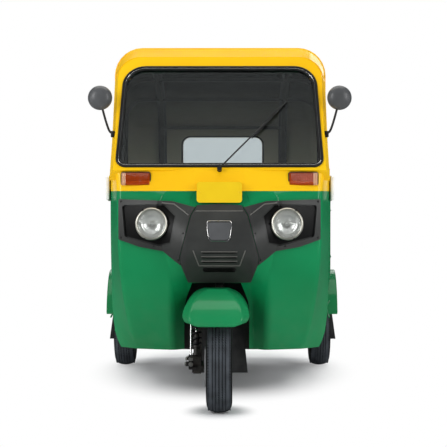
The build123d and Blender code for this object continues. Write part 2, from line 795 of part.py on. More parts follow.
def wheel(name, x_mid, y_mid, outer_side):
    """Rim with its hub and drum, and its tyre."""
    s = outer_side
    with BuildPart() as rim:
        ring_about(x_mid, y_mid, tyre_radius, [
            (-s * 44, rim_radius), (-s * 44, flange_radius - 4), (-s * 40, flange_radius - 4),
            (-s * 40, rim_radius), (s * 40, rim_radius), (s * 40, flange_radius - 4),
            (s * 44, flange_radius - 4), (s * 44, rim_radius - 8), (s * 20, rim_radius - 20),
            (s * 14, 60), (s * 30, 52), (s * 30, bore), (-s * 66, bore), (-s * 66, 92),
            (-s * 10, 92), (-s * 10, rim_radius - 8),
        ])
    finish(rim, f"{name}_rim")
    with BuildPart() as tyre:
        half = tyre_width / 2
        across = Plane(origin=(x_mid, y_mid, tyre_radius), x_dir=(1, 0, 0), z_dir=(0, -1, 0))
        with BuildSketch(across) as section:
            with BuildLine():
                ThreePointArc((-44 + 5, rim_radius), (-half, (rim_radius + tyre_radius) / 2 + 2),
                              (-half + 14, tyre_radius - 10))
                shoulder = (half - 14, tyre_radius - 10)
                ThreePointArc((-shoulder[0], shoulder[1]), (0, tyre_radius), shoulder)
                ThreePointArc((half - 14, tyre_radius - 10), (half, (rim_radius + tyre_radius) / 2 + 2),
                              (44 - 5, rim_radius))
                Line((44 - 5, rim_radius), (-44 + 5, rim_radius))
            make_face()
        revolve(section.sketch, axis=Axis((x_mid, y_mid, tyre_radius), (1, 0, 0)))
        add(rim.part, mode=Mode.SUBTRACT)
    finish(tyre, f"{name}_tyre")


wheel("rear_left", rear_track / 2, back(wheelbase), 1)
wheel("rear_right", -rear_track / 2, back(wheelbase), -1)
wheel("front", 0, back(0), 1)

# ---------------------------------------------------------------- steering
column_radius = head_inner - bearing_gap
crown_z = 492
bar_z = 1020
bar_half = 330
leg_x, leg_width = -100, 36
link_pivot = (110, 250)
with BuildPart() as steering_column:
    column_rod(column_radius, crown_z, bar_z)
    with Locations(column_plane(crown_z)):
        Box(90, 70, 30)
finish(steering_column, "steering_column")

with BuildPart() as handlebar:
    with Locations(column_plane(bar_z, 16)):
        Box(120, 60, 32)
        Cylinder(11, 2 * bar_half, rotation=(0, 90, 0))
    for side in (-1, 1):
        with Locations(column_plane(bar_z, 16) * Pos(side * (bar_half - 60), 0, 0)):
            Cylinder(16, 120, rotation=(0, 90, 0))
finish(handlebar, "handlebar")

crown_half = 45
shock_low, shock_high = (-62, 262), (20, 470)
lug_thickness = 34
with BuildPart() as front_arm:
    with BuildSketch(Plane.YZ.offset(leg_x - leg_width / 2)):
        with BuildLine():
            Line((back(column_station(crown_z)), crown_z - 12), (back(link_pivot[0]), link_pivot[1]))
        trace(line_width=40)
        with BuildLine():
            Line((back(link_pivot[0]), link_pivot[1]), (back(0), tyre_radius))
        trace(line_width=46)
        with BuildLine():
            Line((back(0), tyre_radius), (back(shock_low[0]), shock_low[1]))
            Line((back(column_station(crown_z)), crown_z - 12), (back(shock_high[0]), shock_high[1]))
        trace(line_width=lug_thickness)
        with Locations((back(0), tyre_radius), (back(link_pivot[0]), link_pivot[1])):
            Circle(32)
    extrude(amount=leg_width)
    with Locations(((leg_x - crown_half - seat_gap) / 2, back(column_station(crown_z)), crown_z - 4)):
        Box(-leg_x - crown_half - seat_gap, 40, 28)
    with Locations((leg_x / 2 - 36, back(0), tyre_radius)):
        Cylinder(26, -leg_x - 72, rotation=(0, 90, 0))
    with Locations((leg_x / 2 + 17.5, back(0), tyre_radius)):
        Cylinder(stub_radius, -leg_x + 35, rotation=(0, 90, 0))
finish(front_arm, "front_arm")

shock_x, shock_width = -103, 38
with BuildPart() as front_shock:
    with BuildSketch(Plane.YZ.offset(shock_x - shock_width / 2)):
        with BuildLine():
            Line((back(shock_low[0]), shock_low[1]), (back(shock_high[0]), shock_high[1]))
        trace(line_width=shock_width)
    extrude(amount=shock_width)
    add(front_arm.part, mode=Mode.SUBTRACT)
finish(front_shock, "front_shock")

# fender: height, rear half-width, nose half-width, nose station, rear station
fender_rows = [
    (404, 94, 84, -232, 190),
    (442, 147, 118, -nose_reach, 190),
    (500, 131, 106, -188, 186),
    (540, 98, 76, -122, 124),
    (562, 56, 44, -76, 50),
]
fender_lip = 442                          # lower edge behind the nose
fender_wall = 6


def fender_hull(inset):
    """Dome over the front wheel, drawn in by inset."""
    with BuildPart() as dome:
        for z, rear_half, nose_half, nose, rear in fender_rows:
            with BuildSketch(Plane.XY.offset(z - inset)):
                with BuildLine():
                    half = [(rear_half, back(rear)), (rear_half, back(nose + 70)), (nose_half, back(nose))]
                    points = [(arch_shift - x, y) for x, y in half]
                    points += [(arch_shift + x, y) for x, y in reversed(half)]
                    FilletPolyline(*points, radius=[20, 20, 20, 20])
                    Line(points[-1], points[0])
                make_face()
                if inset:
                    offset(amount=-inset, mode=Mode.REPLACE)
        loft()
    return dome.part


with BuildPart() as front_fender:
    add(fender_hull(0))
    add(fender_hull(fender_wall), mode=Mode.SUBTRACT)
    with BuildSketch(Plane.YZ.offset(-width)):
        with BuildLine():
            lip = [(-150, 300), (-150, 404), (-110, fender_lip), (300, fender_lip), (300, 300)]
            Polyline(*[(back(y), z) for y, z in lip], close=True)
        make_face()
    extrude(amount=2 * width, mode=Mode.SUBTRACT)
    column_rod(column_radius + seat_gap, crown_z - 60, 800, mode=Mode.SUBTRACT)
    with Locations(column_plane(crown_z)):
        Box(90 + 2 * seat_gap, 70 + 2 * seat_gap, 30 + 2 * seat_gap, mode=Mode.SUBTRACT)
finish(front_fender, "front_fender")

with BuildPart() as front_mudflap:
    with BuildSketch(Plane.XZ.offset(-back(arch_back - seat_gap))):
        with BuildLine():
            Polyline((-110, 360), (110, 360), (132, 145), (-132, 145), close=True)
        make_face()
    extrude(amount=5)
finish(front_mudflap, "front_mudflap")

# ---------------------------------------------------------------- mirrors
mirror_x, mirror_z, mirror_station = 557, 1437, 205
mirror_radius = 57
stalk = [(496, 1272), (516, 1290), (532, 1340), (548, 1392)]
stalk_radius = 5
with BuildPart() as mirrors:
    for side in (-1, 1):
        with Locations((side * mirror_x, back(mirror_station), mirror_z)):
            Cylinder(mirror_radius, 16, rotation=(90, 0, 0))
        with BuildLine() as path:
            FilletPolyline(*[(side * x, back(mirror_station), z) for x, z in stalk], radius=[16, 40])
        with BuildSketch(Plane(origin=path.line @ 0, z_dir=path.line % 0)):
            Circle(stalk_radius)
        sweep(path=path.line)
        with Locations((side * 500, back(mirror_station + 6), 1270)):
            Box(30, 26, 30)
    add(screen_surround.part, mode=Mode.SUBTRACT)
finish(mirrors, "mirrors")
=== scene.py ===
import math

import bmesh
import bpy
import numpy as np
from mathutils import Matrix, Vector
from mathutils.bvhtree import BVHTree


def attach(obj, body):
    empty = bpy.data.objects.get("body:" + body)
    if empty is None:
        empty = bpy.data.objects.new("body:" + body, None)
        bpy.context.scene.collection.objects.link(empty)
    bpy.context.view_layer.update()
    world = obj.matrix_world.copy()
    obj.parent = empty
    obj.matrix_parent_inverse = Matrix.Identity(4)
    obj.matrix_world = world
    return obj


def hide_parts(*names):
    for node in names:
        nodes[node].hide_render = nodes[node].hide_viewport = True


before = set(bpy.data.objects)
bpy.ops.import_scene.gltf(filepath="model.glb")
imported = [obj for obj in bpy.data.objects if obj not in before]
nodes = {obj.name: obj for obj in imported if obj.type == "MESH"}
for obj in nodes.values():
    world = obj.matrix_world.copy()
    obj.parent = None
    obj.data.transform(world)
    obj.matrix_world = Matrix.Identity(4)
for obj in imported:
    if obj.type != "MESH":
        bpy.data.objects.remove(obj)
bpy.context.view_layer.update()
axleY = -1077.5  # mm, Y of the front axle; a station is a distance back from it
beltHeight = 1080  # mm, the top of the body's sides
print("frame loaded:", len(nodes), "nodes")


def inFrame(points):
    # metres in the shared frame, from (x, station, z) in mm
    return (np.asarray(points, float) + (0, axleY, 0)) / 1000


def place(x, station, z):
    return inFrame((x, station, z))


def linear(hexColour):
    parts = [int(hexColour[i : i + 2], 16) / 255 for i in (1, 3, 5)]
    return [c / 12.92 if c <= 0.04045 else ((c + 0.055) / 1.055) ** 2.4 for c in parts] + [1.0]


def addNode(tree, kind, links=None, **settings):
    made = tree.nodes.new(kind)
    for name, value in settings.items():
        setattr(made, name, value)
    for name, value in (links or {}).items():
        if isinstance(value, bpy.types.NodeSocket):
            tree.links.new(value, made.inputs[name])
        else:
            made.inputs[name].default_value = value
    return made


def newMaterial(name, roughness, **sockets):
    material = bpy.data.materials.new(name)
    material.use_nodes = True
    shader = material.node_tree.nodes["Principled BSDF"]
    shader.inputs["Roughness"].default_value = roughness
    for socket, value in sockets.items():
        shader.inputs[socket.replace("_", " ")].default_value = value
    where = addNode(material.node_tree, "ShaderNodeTexCoord").outputs["Object"]
    return material, material.node_tree, shader, where


def tint(tree, shader, where, colours, patchMm, detail=3.0, low=0.35, high=0.65):
    # two close shades of one finish, drifting over patches of a real size
    drift = addNode(tree, "ShaderNodeTexNoise",
                    {"Vector": where, "Scale": 1000 / patchMm, "Detail": detail})
    ramp = addNode(tree, "ShaderNodeValToRGB", {"Fac": drift.outputs["Fac"]})
    ramp.color_ramp.elements[0].position = low
    ramp.color_ramp.elements[1].position = high
    ramp.color_ramp.elements[0].color = linear(colours[0])
    ramp.color_ramp.elements[1].color = linear(colours[1])
    tree.links.new(ramp.outputs["Color"], shader.inputs["Base Color"])
    return ramp.outputs["Color"]


def relief(tree, shader, height, depthMm, strength=1.0, alsoCoat=False):
    bump = addNode(
        tree, "ShaderNodeBump", {"Height": height, "Distance": depthMm / 1000, "Strength": strength}
    )
    tree.links.new(bump.outputs["Normal"], shader.inputs["Normal"])
    if alsoCoat:
        tree.links.new(bump.outputs["Normal"], shader.inputs["Coat Normal"])


def roadDust(tree, shader, where, colour, dustHex, topMm, amount):
    # dry dust that gathers on the lowest part and fades out upwards
    apart = addNode(tree, "ShaderNodeSeparateXYZ", {"Vector": where})
    fade = addNode(
        tree, "ShaderNodeMapRange",
        {"Value": apart.outputs["Z"], "From Min": 0.1, "From Max": topMm / 1000, "To Min": amount,
         "To Max": 0.0},
    )
    cloud = addNode(tree, "ShaderNodeTexNoise", {"Vector": where, "Scale": 18.0, "Detail": 5.0})
    both = addNode(tree, "ShaderNodeMath", {0: fade.outputs["Result"], 1: cloud.outputs["Fac"]},
                   operation="MULTIPLY")
    mixed = addNode(
        tree, "ShaderNodeMix", {"Factor": both.outputs["Value"], "A": colour, "B": linear(dustHex)},
        data_type="RGBA"
    )
    tree.links.new(mixed.outputs["Result"], shader.inputs["Base Color"])


def glossEnamel(name, colours, topMm=620, dust=0.18):
    # stoved enamel on pressed steel: deep gloss, a faint orange peel of 3 mm, dust along the sills
    material, tree, shader, where = newMaterial(
        name, 0.5, Specular_IOR_Level=0.12, Coat_Weight=0.35, Coat_Roughness=0.12)
    colour = tint(tree, shader, where, colours, 420)
    roadDust(tree, shader, where, colour, "#8d8672", topMm, dust)
    peel = addNode(tree, "ShaderNodeTexNoise", {"Vector": where, "Scale": 330.0, "Detail": 1.0})
    relief(tree, shader, peel.outputs["Fac"], 0.05, 0.25, alsoCoat=True)
    return material


def mouldedPlastic(name, colours, roughness=0.42, grainMm=1.6, depthMm=0.12, shine=0.4):
    # injection-moulded ABS with a spark-eroded grain, drawn coarser than life so that it shows
    material, tree, shader, where = newMaterial(name, roughness, Specular_IOR_Level=shine)
    tint(tree, shader, where, colours, 160)
    grain = addNode(
        tree, "ShaderNodeTexVoronoi", {"Vector": where, "Scale": 1000 / grainMm}, feature="SMOOTH_F1"
    )
    relief(tree, shader, grain.outputs["Distance"], depthMm, 0.5)
    return material


def brushedPaint(name, colours, roughness=0.5):
    # satin chassis black brushed over mill scale: dull, with patches where it has rubbed thin
    material, tree, shader, where = newMaterial(name, roughness, Metallic=0.15)
    colour = tint(tree, shader, where, colours, 70, detail=6.0)
    roadDust(tree, shader, where, colour, "#7d7464", 420, 0.3)
    pits = addNode(tree, "ShaderNodeTexNoise", {"Vector": where, "Scale": 220.0, "Detail": 4.0})
    relief(tree, shader, pits.outputs["Fac"], 0.25, 0.35)
    return material


def platedMetal(name, hexColour, roughness, scratch=0.06):
    # electroplate or bare metal: mirror-like, with hairline wear that breaks the highlights
    material, tree, shader, where = newMaterial(name, roughness, Metallic=1.0)
    shader.inputs["Base Color"].default_value = linear(hexColour)
    stretched = addNode(tree, "ShaderNodeMapping", {"Vector": where, "Scale": (60.0, 900.0, 60.0)})
    hair = addNode(tree, "ShaderNodeTexNoise",
                   {"Vector": stretched.outputs["Vector"], "Scale": 1.0, "Detail": 3.0})
    level = addNode(
        tree, "ShaderNodeMapRange",
        {"Value": hair.outputs["Fac"], "To Min": roughness, "To Max": roughness + scratch * 3},
    )
    tree.links.new(level.outputs["Result"], shader.inputs["Roughness"])
    relief(tree, shader, hair.outputs["Fac"], 0.03, scratch)
    return material


def castAlloy(name, colours):
    # sand-cast aluminium: pale grey, matt, pebbled at about 2 mm
    material, tree, shader, where = newMaterial(name, 0.55, Metallic=0.85)
    tint(tree, shader, where, colours, 60, detail=6.0)
    pebble = addNode(tree, "ShaderNodeTexNoise", {"Vector": where, "Scale": 480.0, "Detail": 3.0})
    relief(tree, shader, pebble.outputs["Fac"], 0.4, 0.4)
    return material


def vulcanisedRubber(name, colours, roughness=0.72):
    # carbon-black rubber: charcoal rather than black, with a bloom of grey dust in patches
    material, tree, shader, where = newMaterial(name, roughness, Specular_IOR_Level=0.35)
    tint(tree, shader, where, colours, 45, detail=7.0)
    skin = addNode(tree, "ShaderNodeTexNoise", {"Vector": where, "Scale": 650.0, "Detail": 2.0})
    relief(tree, shader, skin.outputs["Fac"], 0.15, 0.35)
    return material


def coatedCloth(name, colours, threadMm=5.0):
    # PVC-coated canvas: soft sheen with the base cloth's threads printing through, drawn at 5 mm to show
    material, tree, shader, where = newMaterial(name, 0.55, Sheen_Weight=0.15, Sheen_Roughness=0.5)
    tint(tree, shader, where, colours, 260, detail=5.0)
    weave = None
    for direction in ("X", "Y", "Z"):
        thread = addNode(
            tree, "ShaderNodeTexWave",
            {"Vector": where, "Scale": 314.16 / threadMm, "Distortion": 0.4, "Detail": 1.0},
            bands_direction=direction,
        )
        weave = thread.outputs["Fac"] if weave is None else addNode(
            tree, "ShaderNodeMath", {0: weave, 1: thread.outputs["Fac"]}, operation="ADD"
        ).outputs["Value"]
    relief(tree, shader, weave, 0.12, 0.35)
    return material


def seatVinyl(name, colours):
    # embossed upholstery vinyl: cells of 4 mm like hide, a satin polish where people sit
    material, tree, shader, where = newMaterial(name, 0.42, Coat_Weight=0.15, Coat_Roughness=0.35)
    tint(tree, shader, where, colours, 120, detail=4.0)
    cells = addNode(
        tree, "ShaderNodeTexVoronoi", {"Vector": where, "Scale": 250.0}, feature="DISTANCE_TO_EDGE"
    )
    relief(tree, shader, cells.outputs["Distance"], 0.5, 0.4)
    return material


def lensPlastic(name, hexColour, roughness=0.06, weight=0.85):
    # dyed acrylic: clear in depth and glossy on top
    material, tree, shader, where = newMaterial(
        name, roughness, Transmission_Weight=weight, IOR=1.49, Coat_Weight=0.3, Coat_Roughness=0.03
    )
    shader.inputs["Base Color"].default_value = linear(hexColour)
    smear = addNode(tree, "ShaderNodeTexNoise", {"Vector": where, "Scale": 40.0, "Detail": 3.0})
    relief(tree, shader, smear.outputs["Fac"], 0.05, 0.1)
    return material


def clearSheet(name, hexColour, roughness=0.0, ior=1.5, ripple=0.02, rippleMm=180):
    # window glass or pressed vinyl: a slow ripple bends what is seen in it
    material, tree, shader, where = newMaterial(name, roughness, Transmission_Weight=1.0, IOR=ior)
    shader.inputs["Base Color"].default_value = linear(hexColour)
    slow = addNode(tree, "ShaderNodeTexNoise", {"Vector": where, "Scale": 1000 / rippleMm, "Detail": 0.0})
    relief(tree, shader, slow.outputs["Fac"], 1.0, ripple)
    return material


greenEnamel = glossEnamel("greenEnamel", ("#007945", "#00834d"))
yellowEnamel = glossEnamel("yellowEnamel", ("#ecb503", "#f0c00b"), topMm=400, dust=0.05)

# painted shade: the windscreen opening's rim is darkened to near black where it faces down, above 1.53 m
rimTree = yellowEnamel.node_tree
rimFacing = addNode(rimTree, "ShaderNodeSeparateXYZ",
                    {"Vector": addNode(rimTree, "ShaderNodeNewGeometry").outputs["Normal"]})
rimHeight = addNode(rimTree, "ShaderNodeSeparateXYZ",
                    {"Vector": addNode(rimTree, "ShaderNodeTexCoord").outputs["Object"]})
facesDown = addNode(rimTree, "ShaderNodeMapRange",
                    {"Value": rimFacing.outputs["Z"], "From Min": -0.5, "From Max": -0.65, "To Min": 0.0,
                     "To Max": 1.0})
rimShadeMask = addNode(rimTree, "ShaderNodeMapRange",
                  {"Value": rimHeight.outputs["Z"], "From Min": 1.53, "From Max": 1.54, "To Min": 0.0,
                   "To Max": facesDown.outputs["Result"]})
rimShader = rimTree.nodes["Principled BSDF"]
rimColour = rimShader.inputs["Base Color"].links[0].from_socket
rimShadeMix = addNode(rimTree, "ShaderNodeMix",
                   {"Factor": rimShadeMask.outputs["Result"], "A": rimColour, "B": linear("#121110")},
                   data_type="RGBA")
rimTree.links.new(rimShadeMix.outputs["Result"], rimShader.inputs["Base Color"])
yellowCanvas = coatedCloth("yellowCanvas", ("#eeb312", "#f6bf20"))
darkLining = coatedCloth("darkLining", ("#26272a", "#313236"))
liningTree = darkLining.node_tree
liningShader = liningTree.nodes["Principled BSDF"]
liningShader.inputs["Sheen Weight"].default_value = 0.0
liningShader.inputs["Specular IOR Level"].default_value = 0.0
liningShader.inputs["Roughness"].default_value = 1.0
liningPlace = addNode(liningTree, "ShaderNodeTexCoord").outputs["Object"]
liningHeight = addNode(liningTree, "ShaderNodeSeparateXYZ", {"Vector": liningPlace}).outputs["Z"]
# painted light and shade: the lining runs from near black at the crown to pale at the bottom, standing for
# the daylight that comes in at the windows
shadeTowardsCrown = addNode(liningTree, "ShaderNodeMapRange",
                 {"Value": liningHeight, "From Min": 1.08, "From Max": 1.6})
liningLightAndShade = addNode(liningTree, "ShaderNodeMix",
                 {"Factor": shadeTowardsCrown.outputs["Result"], "A": linear("#b8b29c"), "B": linear("#0c0d0b")},
                 data_type="RGBA")
liningTree.links.new(liningLightAndShade.outputs["Result"], liningShader.inputs["Base Color"])
blackMoulding = mouldedPlastic("blackMoulding", ("#2a2b2a", "#363735"))
greyMoulding = mouldedPlastic("greyMoulding", ("#48494a", "#545557"), roughness=0.35)
# near-black moulding: the real colour of the dial face and lamp clips, and painted shade in the headlamp
# pockets and the slots
blackAndPaintedShade = mouldedPlastic("blackAndPaintedShade", ("#060606", "#0d0d0c"), roughness=0.4, shine=0.18)
plateYellow = mouldedPlastic("plateYellow", ("#e0b902", "#e6c008"), roughness=0.3, grainMm=3.0,
                             depthMm=0.04)
plateWhite = mouldedPlastic("plateWhite", ("#e8e8e4", "#f2f2ee"), roughness=0.3, grainMm=3.0, depthMm=0.04)
chassisBlack = brushedPaint("chassisBlack", ("#151515", "#242322"))
wheelSilver = brushedPaint("wheelSilver", ("#8f9093", "#a8a9ac"), roughness=0.4)
chromePlate = platedMetal("chromePlate", "#e4e4e2", 0.08)
mirrorSilver = platedMetal("mirrorSilver", "#e9ecec", 0.02, scratch=0.0)
zincPlate = platedMetal("zincPlate", "#b4b3ad", 0.3)
springSteel = platedMetal("springSteel", "#3c3c3e", 0.45)
engineAlloy = castAlloy("engineAlloy", ("#77797b", "#94969a"))
exhaustIron = castAlloy("exhaustIron", ("#4a3d33", "#5c5149"))
brakeIron = castAlloy("brakeIron", ("#3a3938", "#514f4c"))
sealRubber = vulcanisedRubber("sealRubber", ("#121212", "#1c1c1c"), roughness=0.5)
wallRubber = vulcanisedRubber("wallRubber", ("#08090a", "#101113"))
treadRubber = vulcanisedRubber("treadRubber", ("#363a3f", "#454a50"))
flapRubber = vulcanisedRubber("flapRubber", ("#1f1f20", "#2d2d2d"))
benchVinyl = seatVinyl("benchVinyl", ("#18181a", "#222224"))
strapWebbing = coatedCloth("strapWebbing", ("#10141c", "#171c26"), threadMm=3.0)
pipingVinyl = seatVinyl("pipingVinyl", ("#2a2a2c", "#343436"))
stitchThread = coatedCloth("stitchThread", ("#c98f10", "#dca31a"), threadMm=2.0)
amberLens = lensPlastic("amberLens", "#c9520e", weight=0.7)
paleAmberLens = lensPlastic("paleAmberLens", "#f7c39c", weight=0.6)
reflectorMetal = platedMetal("reflectorMetal", "#f6f6f2", 0.27, scratch=0.03)
trimSatin = platedMetal("trimSatin", "#dedcd0", 0.34)
# a lighter copy of the black moulding: painted highlight along the louvre lips and pressed ridges
creaseHighlight = mouldedPlastic("creaseHighlight", ("#54534f", "#62615d"), roughness=0.35)
clearLens = lensPlastic("clearLens", "#f2f4f4", weight=1.0)
redLens = lensPlastic("redLens", "#b3100c")
safetyGlass = clearSheet("safetyGlass", "#d2d9d9")
windowVinyl = clearSheet("windowVinyl", "#e6ebee", roughness=0.08, ior=1.45, ripple=0.05, rippleMm=90)
print("materials made")


def combine(parts):
    vertices, faces, start = [], [], 0
    for points, polygons in parts:
        vertices.append(np.asarray(points, float).reshape(-1, 3))
        faces += [[i + start for i in polygon] for polygon in polygons]
        start += len(vertices[-1])
    return np.concatenate(vertices), faces


def meshOf(name, parts, weld=0.00002):
    vertices, faces = combine(parts)
    mesh = bpy.data.meshes.new(name)
    mesh.from_pydata([tuple(v) for v in vertices], [], faces)
    work = bmesh.new()
    work.from_mesh(mesh)
    bmesh.ops.remove_doubles(work, verts=work.verts, dist=weld)
    bmesh.ops.recalc_face_normals(work, faces=work.faces)
    work.to_mesh(mesh)
    work.free()
    return mesh


def shadeByAngle(mesh, degrees):
    mesh.shade_smooth()
    if degrees < 180:
        mesh.set_sharp_from_angle(angle=math.radians(degrees))


def piece(name, parts, material, body="chassis", replaces=(), angle=35):
    mesh = meshOf(name, parts) if isinstance(parts, list) else parts
    shadeByAngle(mesh, angle)
    mesh.materials.clear()
    mesh.materials.append(material)
    made = bpy.data.objects.new(name, mesh)
    bpy.context.scene.collection.objects.link(made)
    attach(made, body)
    if replaces:
        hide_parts(*replaces)
    return made


def settled(obj):
    # the evaluated mesh takes the place of the modifiers
    bpy.context.view_layer.update()
    ready = bpy.data.meshes.new_from_object(obj.evaluated_get(bpy.context.evaluated_depsgraph_get()))
    finishes = [0] * len(ready.polygons)
    ready.polygons.foreach_get("material_index", finishes)
    materials = list(obj.data.materials)
    obj.modifiers.clear()
    obj.data = ready
    ready.materials.clear()
    for material in materials:
        ready.materials.append(material)
    ready.polygons.foreach_set("material_index", [min(k, max(len(materials) - 1, 0)) for k in finishes])
    return obj


def across(axis):
    axis = np.array(axis, float) / np.linalg.norm(axis)
    spare = np.array((0, 0, 1.0)) if abs(axis[2]) < 0.9 else np.array((1.0, 0, 0))
    side = np.cross(axis, spare)
    side /= np.linalg.norm(side)
    return axis, side, np.cross(axis, side)


def band(a, b, count):
    # quads that join two closed rings of vertices, numbered on from a and from b
    return [[a + i, a + (i + 1) % count, b + (i + 1) % count, b + i] for i in range(count)]


def turned(profile, centre, axis=(0, 1, 0), steps=48):
    # surface of revolution from (radius, distance along the axis) points in mm
    axis, side, other = across(axis)
    angles = np.arange(steps) * 2 * math.pi / steps
    ring = np.cos(angles)[:, None] * side + np.sin(angles)[:, None] * other
    points = [place(*centre) + (ring * radius + axis * along) / 1000 for radius, along in profile]
    faces = []
    for row in range(len(profile) - 1):
        faces += band(row * steps, (row + 1) * steps, steps)
    return np.concatenate(points), faces


def smoothPath(points, perSpan=8):
    # Catmull-Rom through the points
    p = np.array(points, float)
    p = np.vstack([2 * p[0] - p[1], p, 2 * p[-1] - p[-2]])
    out = []
    for i in range(1, len(p) - 2):
        slope = p[i + 1] - p[i - 1]
        bend = 2 * p[i - 1] - 5 * p[i] + 4 * p[i + 1] - p[i + 2]
        twist = 3 * p[i] - p[i - 1] - 3 * p[i + 1] + p[i + 2]
        for t in np.arange(perSpan) / perSpan:
            out.append(0.5 * (2 * p[i] + slope * t + bend * t * t + twist * t ** 3))
    return np.array(out + [p[-2]])


def tube(points, radius, steps=12, closed=False, smooth=0, flat=1.0):
    # round or flattened section swept along (x, station, z) points in mm, with shut ends
    path = smoothPath(points, smooth) if smooth else np.array(points, float)
    count = len(path)
    radii = np.broadcast_to(np.asarray(radius, float), (count,))
    ahead = np.roll(path, -1, 0) - np.roll(path, 1, 0)
    if not closed:
        ahead[0], ahead[-1] = path[1] - path[0], path[-1] - path[-2]
    ahead /= np.linalg.norm(ahead, axis=1)[:, None]
    _, side, _ = across(ahead[0])
    angles = np.arange(steps) * 2 * math.pi / steps
    vertices = []
    for i in range(count):
        side = side - ahead[i] * side.dot(ahead[i])
        side /= np.linalg.norm(side)
        other = np.cross(ahead[i], side)
        ring = np.cos(angles)[:, None] * side + np.sin(angles)[:, None] * other * flat
        vertices.append(path[i] + ring * radii[i])
    faces = [face for i in range(count if closed else count - 1)
             for face in band(i * steps, (i + 1) % count * steps, steps)]
    if not closed:
        faces += [list(range(steps)), list(range((count - 1) * steps, count * steps))]
    return inFrame(np.concatenate(vertices)), faces


def slab(outline, origin, right, up, thickness, chamfer=0.0):
    # flat plate: outline in mm in the plane of right and up, thickness towards their cross product
    right, up = np.array(right, float), np.array(up, float)
    out = np.cross(right, up)
    flat = np.array(outline, float)
    middle = flat.mean(0)
    layers = [(flat, 0.0), (flat, thickness)]
    if chamfer:
        span = flat.max(0) - flat.min(0)
        shrink = middle + (flat - middle) * (1 - 2 * chamfer / span)
        layers = [(flat, 0.0), (flat, thickness - chamfer), (shrink, thickness)]
    count = len(flat)
    vertices = np.concatenate([
        place(*origin) + (f[:, :1] * right + f[:, 1:] * up + out * depth) / 1000 for f, depth in layers])
    faces = [list(range(count)), list(range((len(layers) - 1) * count, len(layers) * count))]
    for level in range(len(layers) - 1):
        faces += band(level * count, (level + 1) * count, count)
    return vertices, faces


def roundedOutline(halfWide, halfHigh, radius, steps=6, middle=(0, 0)):
    out = []
    for quarter, (sx, sz) in enumerate(((1, 1), (-1, 1), (-1, -1), (1, -1))):
        for k in range(steps + 1):
            angle = math.pi / 2 * (quarter + k / steps)
            out.append((middle[0] + sx * (halfWide - radius) + radius * math.cos(angle),
                        middle[1] + sz * (halfHigh - radius) + radius * math.sin(angle)))
    return out


def block(centre, size, bevel=2.0, segments=2, tilt=None):
    work = bmesh.new()
    bmesh.ops.create_cube(work, size=1.0)
    bmesh.ops.scale(work, verts=work.verts, vec=Vector(size) / 1000)
    if bevel:
        bmesh.ops.bevel(work, geom=work.edges[:], offset=bevel / 1000, segments=segments, profile=0.5,
                        affect="EDGES")
    if tilt:
        bmesh.ops.rotate(work, verts=work.verts, matrix=Matrix.Rotation(math.radians(tilt[0]), 3, tilt[1]))
    bmesh.ops.translate(work, verts=work.verts, vec=Vector(place(*centre)))
    work.verts.index_update()
    points = np.array([v.co[:] for v in work.verts])
    faces = [[v.index for v in f.verts] for f in work.faces]
    work.free()
    return points, faces


# one tree repeats an item at marked points, turned to each point's facing vector
def repeatTree():
    tree = bpy.data.node_groups.new("repeatAtPoints", "GeometryNodeTree")
    for name, kind in (("Geometry", "NodeSocketGeometry"), ("Item", "NodeSocketObject"),
                       ("Size", "NodeSocketFloat"), ("Finish", "NodeSocketMaterial")):
        tree.interface.new_socket(name, in_out="INPUT", socket_type=kind)
    tree.interface.new_socket("Geometry", in_out="OUTPUT", socket_type="NodeSocketGeometry")
    given = addNode(tree, "NodeGroupInput")
    facing = addNode(tree, "GeometryNodeInputNamedAttribute", {"Name": "facing"}, data_type="FLOAT_VECTOR")
    along = addNode(tree, "GeometryNodeInputNamedAttribute", {"Name": "along"}, data_type="FLOAT_VECTOR")
    axes = {"Primary Axis": facing.outputs["Attribute"], "Secondary Axis": along.outputs["Attribute"]}
    lift = addNode(tree, "FunctionNodeAxesToRotation", axes, primary_axis="Z", secondary_axis="X")
    item = addNode(tree, "GeometryNodeObjectInfo", {"Object": given.outputs["Item"]})
    spread = addNode(tree, "GeometryNodeInstanceOnPoints", {
        "Points": given.outputs["Geometry"], "Instance": item.outputs["Geometry"],
        "Rotation": lift.outputs["Rotation"], "Scale": given.outputs["Size"]})
    solid = addNode(tree, "GeometryNodeRealizeInstances", {"Geometry": spread.outputs["Instances"]})
    painted = addNode(tree, "GeometryNodeSetMaterial",
                      {"Geometry": solid.outputs["Geometry"], "Material": given.outputs["Finish"]})
    addNode(tree, "NodeGroupOutput", {"Geometry": painted.outputs["Geometry"]})
    return tree


repeatAtPoints = repeatTree()


def setInput(modifier, name, value):
    for item in modifier.node_group.interface.items_tree:
        if item.item_type == "SOCKET" and item.in_out == "INPUT" and item.name == name:
            modifier[item.identifier] = value


def repeated(name, itemParts, spots, material, body="chassis", size=1.0, replaces=(), angle=35):
    # spots: (x, station, z, facing, along) in mm; itemParts are built about the origin, +Z outwards
    item = bpy.data.objects.new(name + "Item", meshOf(name + "Item", itemParts))
    carrier = bpy.data.meshes.new(name)
    carrier.from_pydata([tuple(place(*spot[:3])) for spot in spots], [], [])
    for column, word in ((3, "facing"), (4, "along")):
        field = carrier.attributes.new(word, "FLOAT_VECTOR", "POINT")
        field.data.foreach_set("vector", np.array([spot[column] for spot in spots], float).ravel())
    made = bpy.data.objects.new(name, carrier)
    bpy.context.scene.collection.objects.link(made)
    modifier = made.modifiers.new("repeat", "NODES")
    modifier.node_group = repeatAtPoints
    setInput(modifier, "Item", item)
    setInput(modifier, "Size", size)
    setInput(modifier, "Finish", material)
    settled(made)
    mesh = made.data
    bpy.data.objects.remove(made)
    bpy.data.objects.remove(item)
    return piece(name, mesh, material, body, replaces, angle)


def aboutOrigin(parts):
    # moves parts that were made at station 0 so that they sit about the origin itself
    shift = np.array((0, axleY, 0)) / 1000
    return [(np.array(points) - shift, faces) for points, faces in parts]


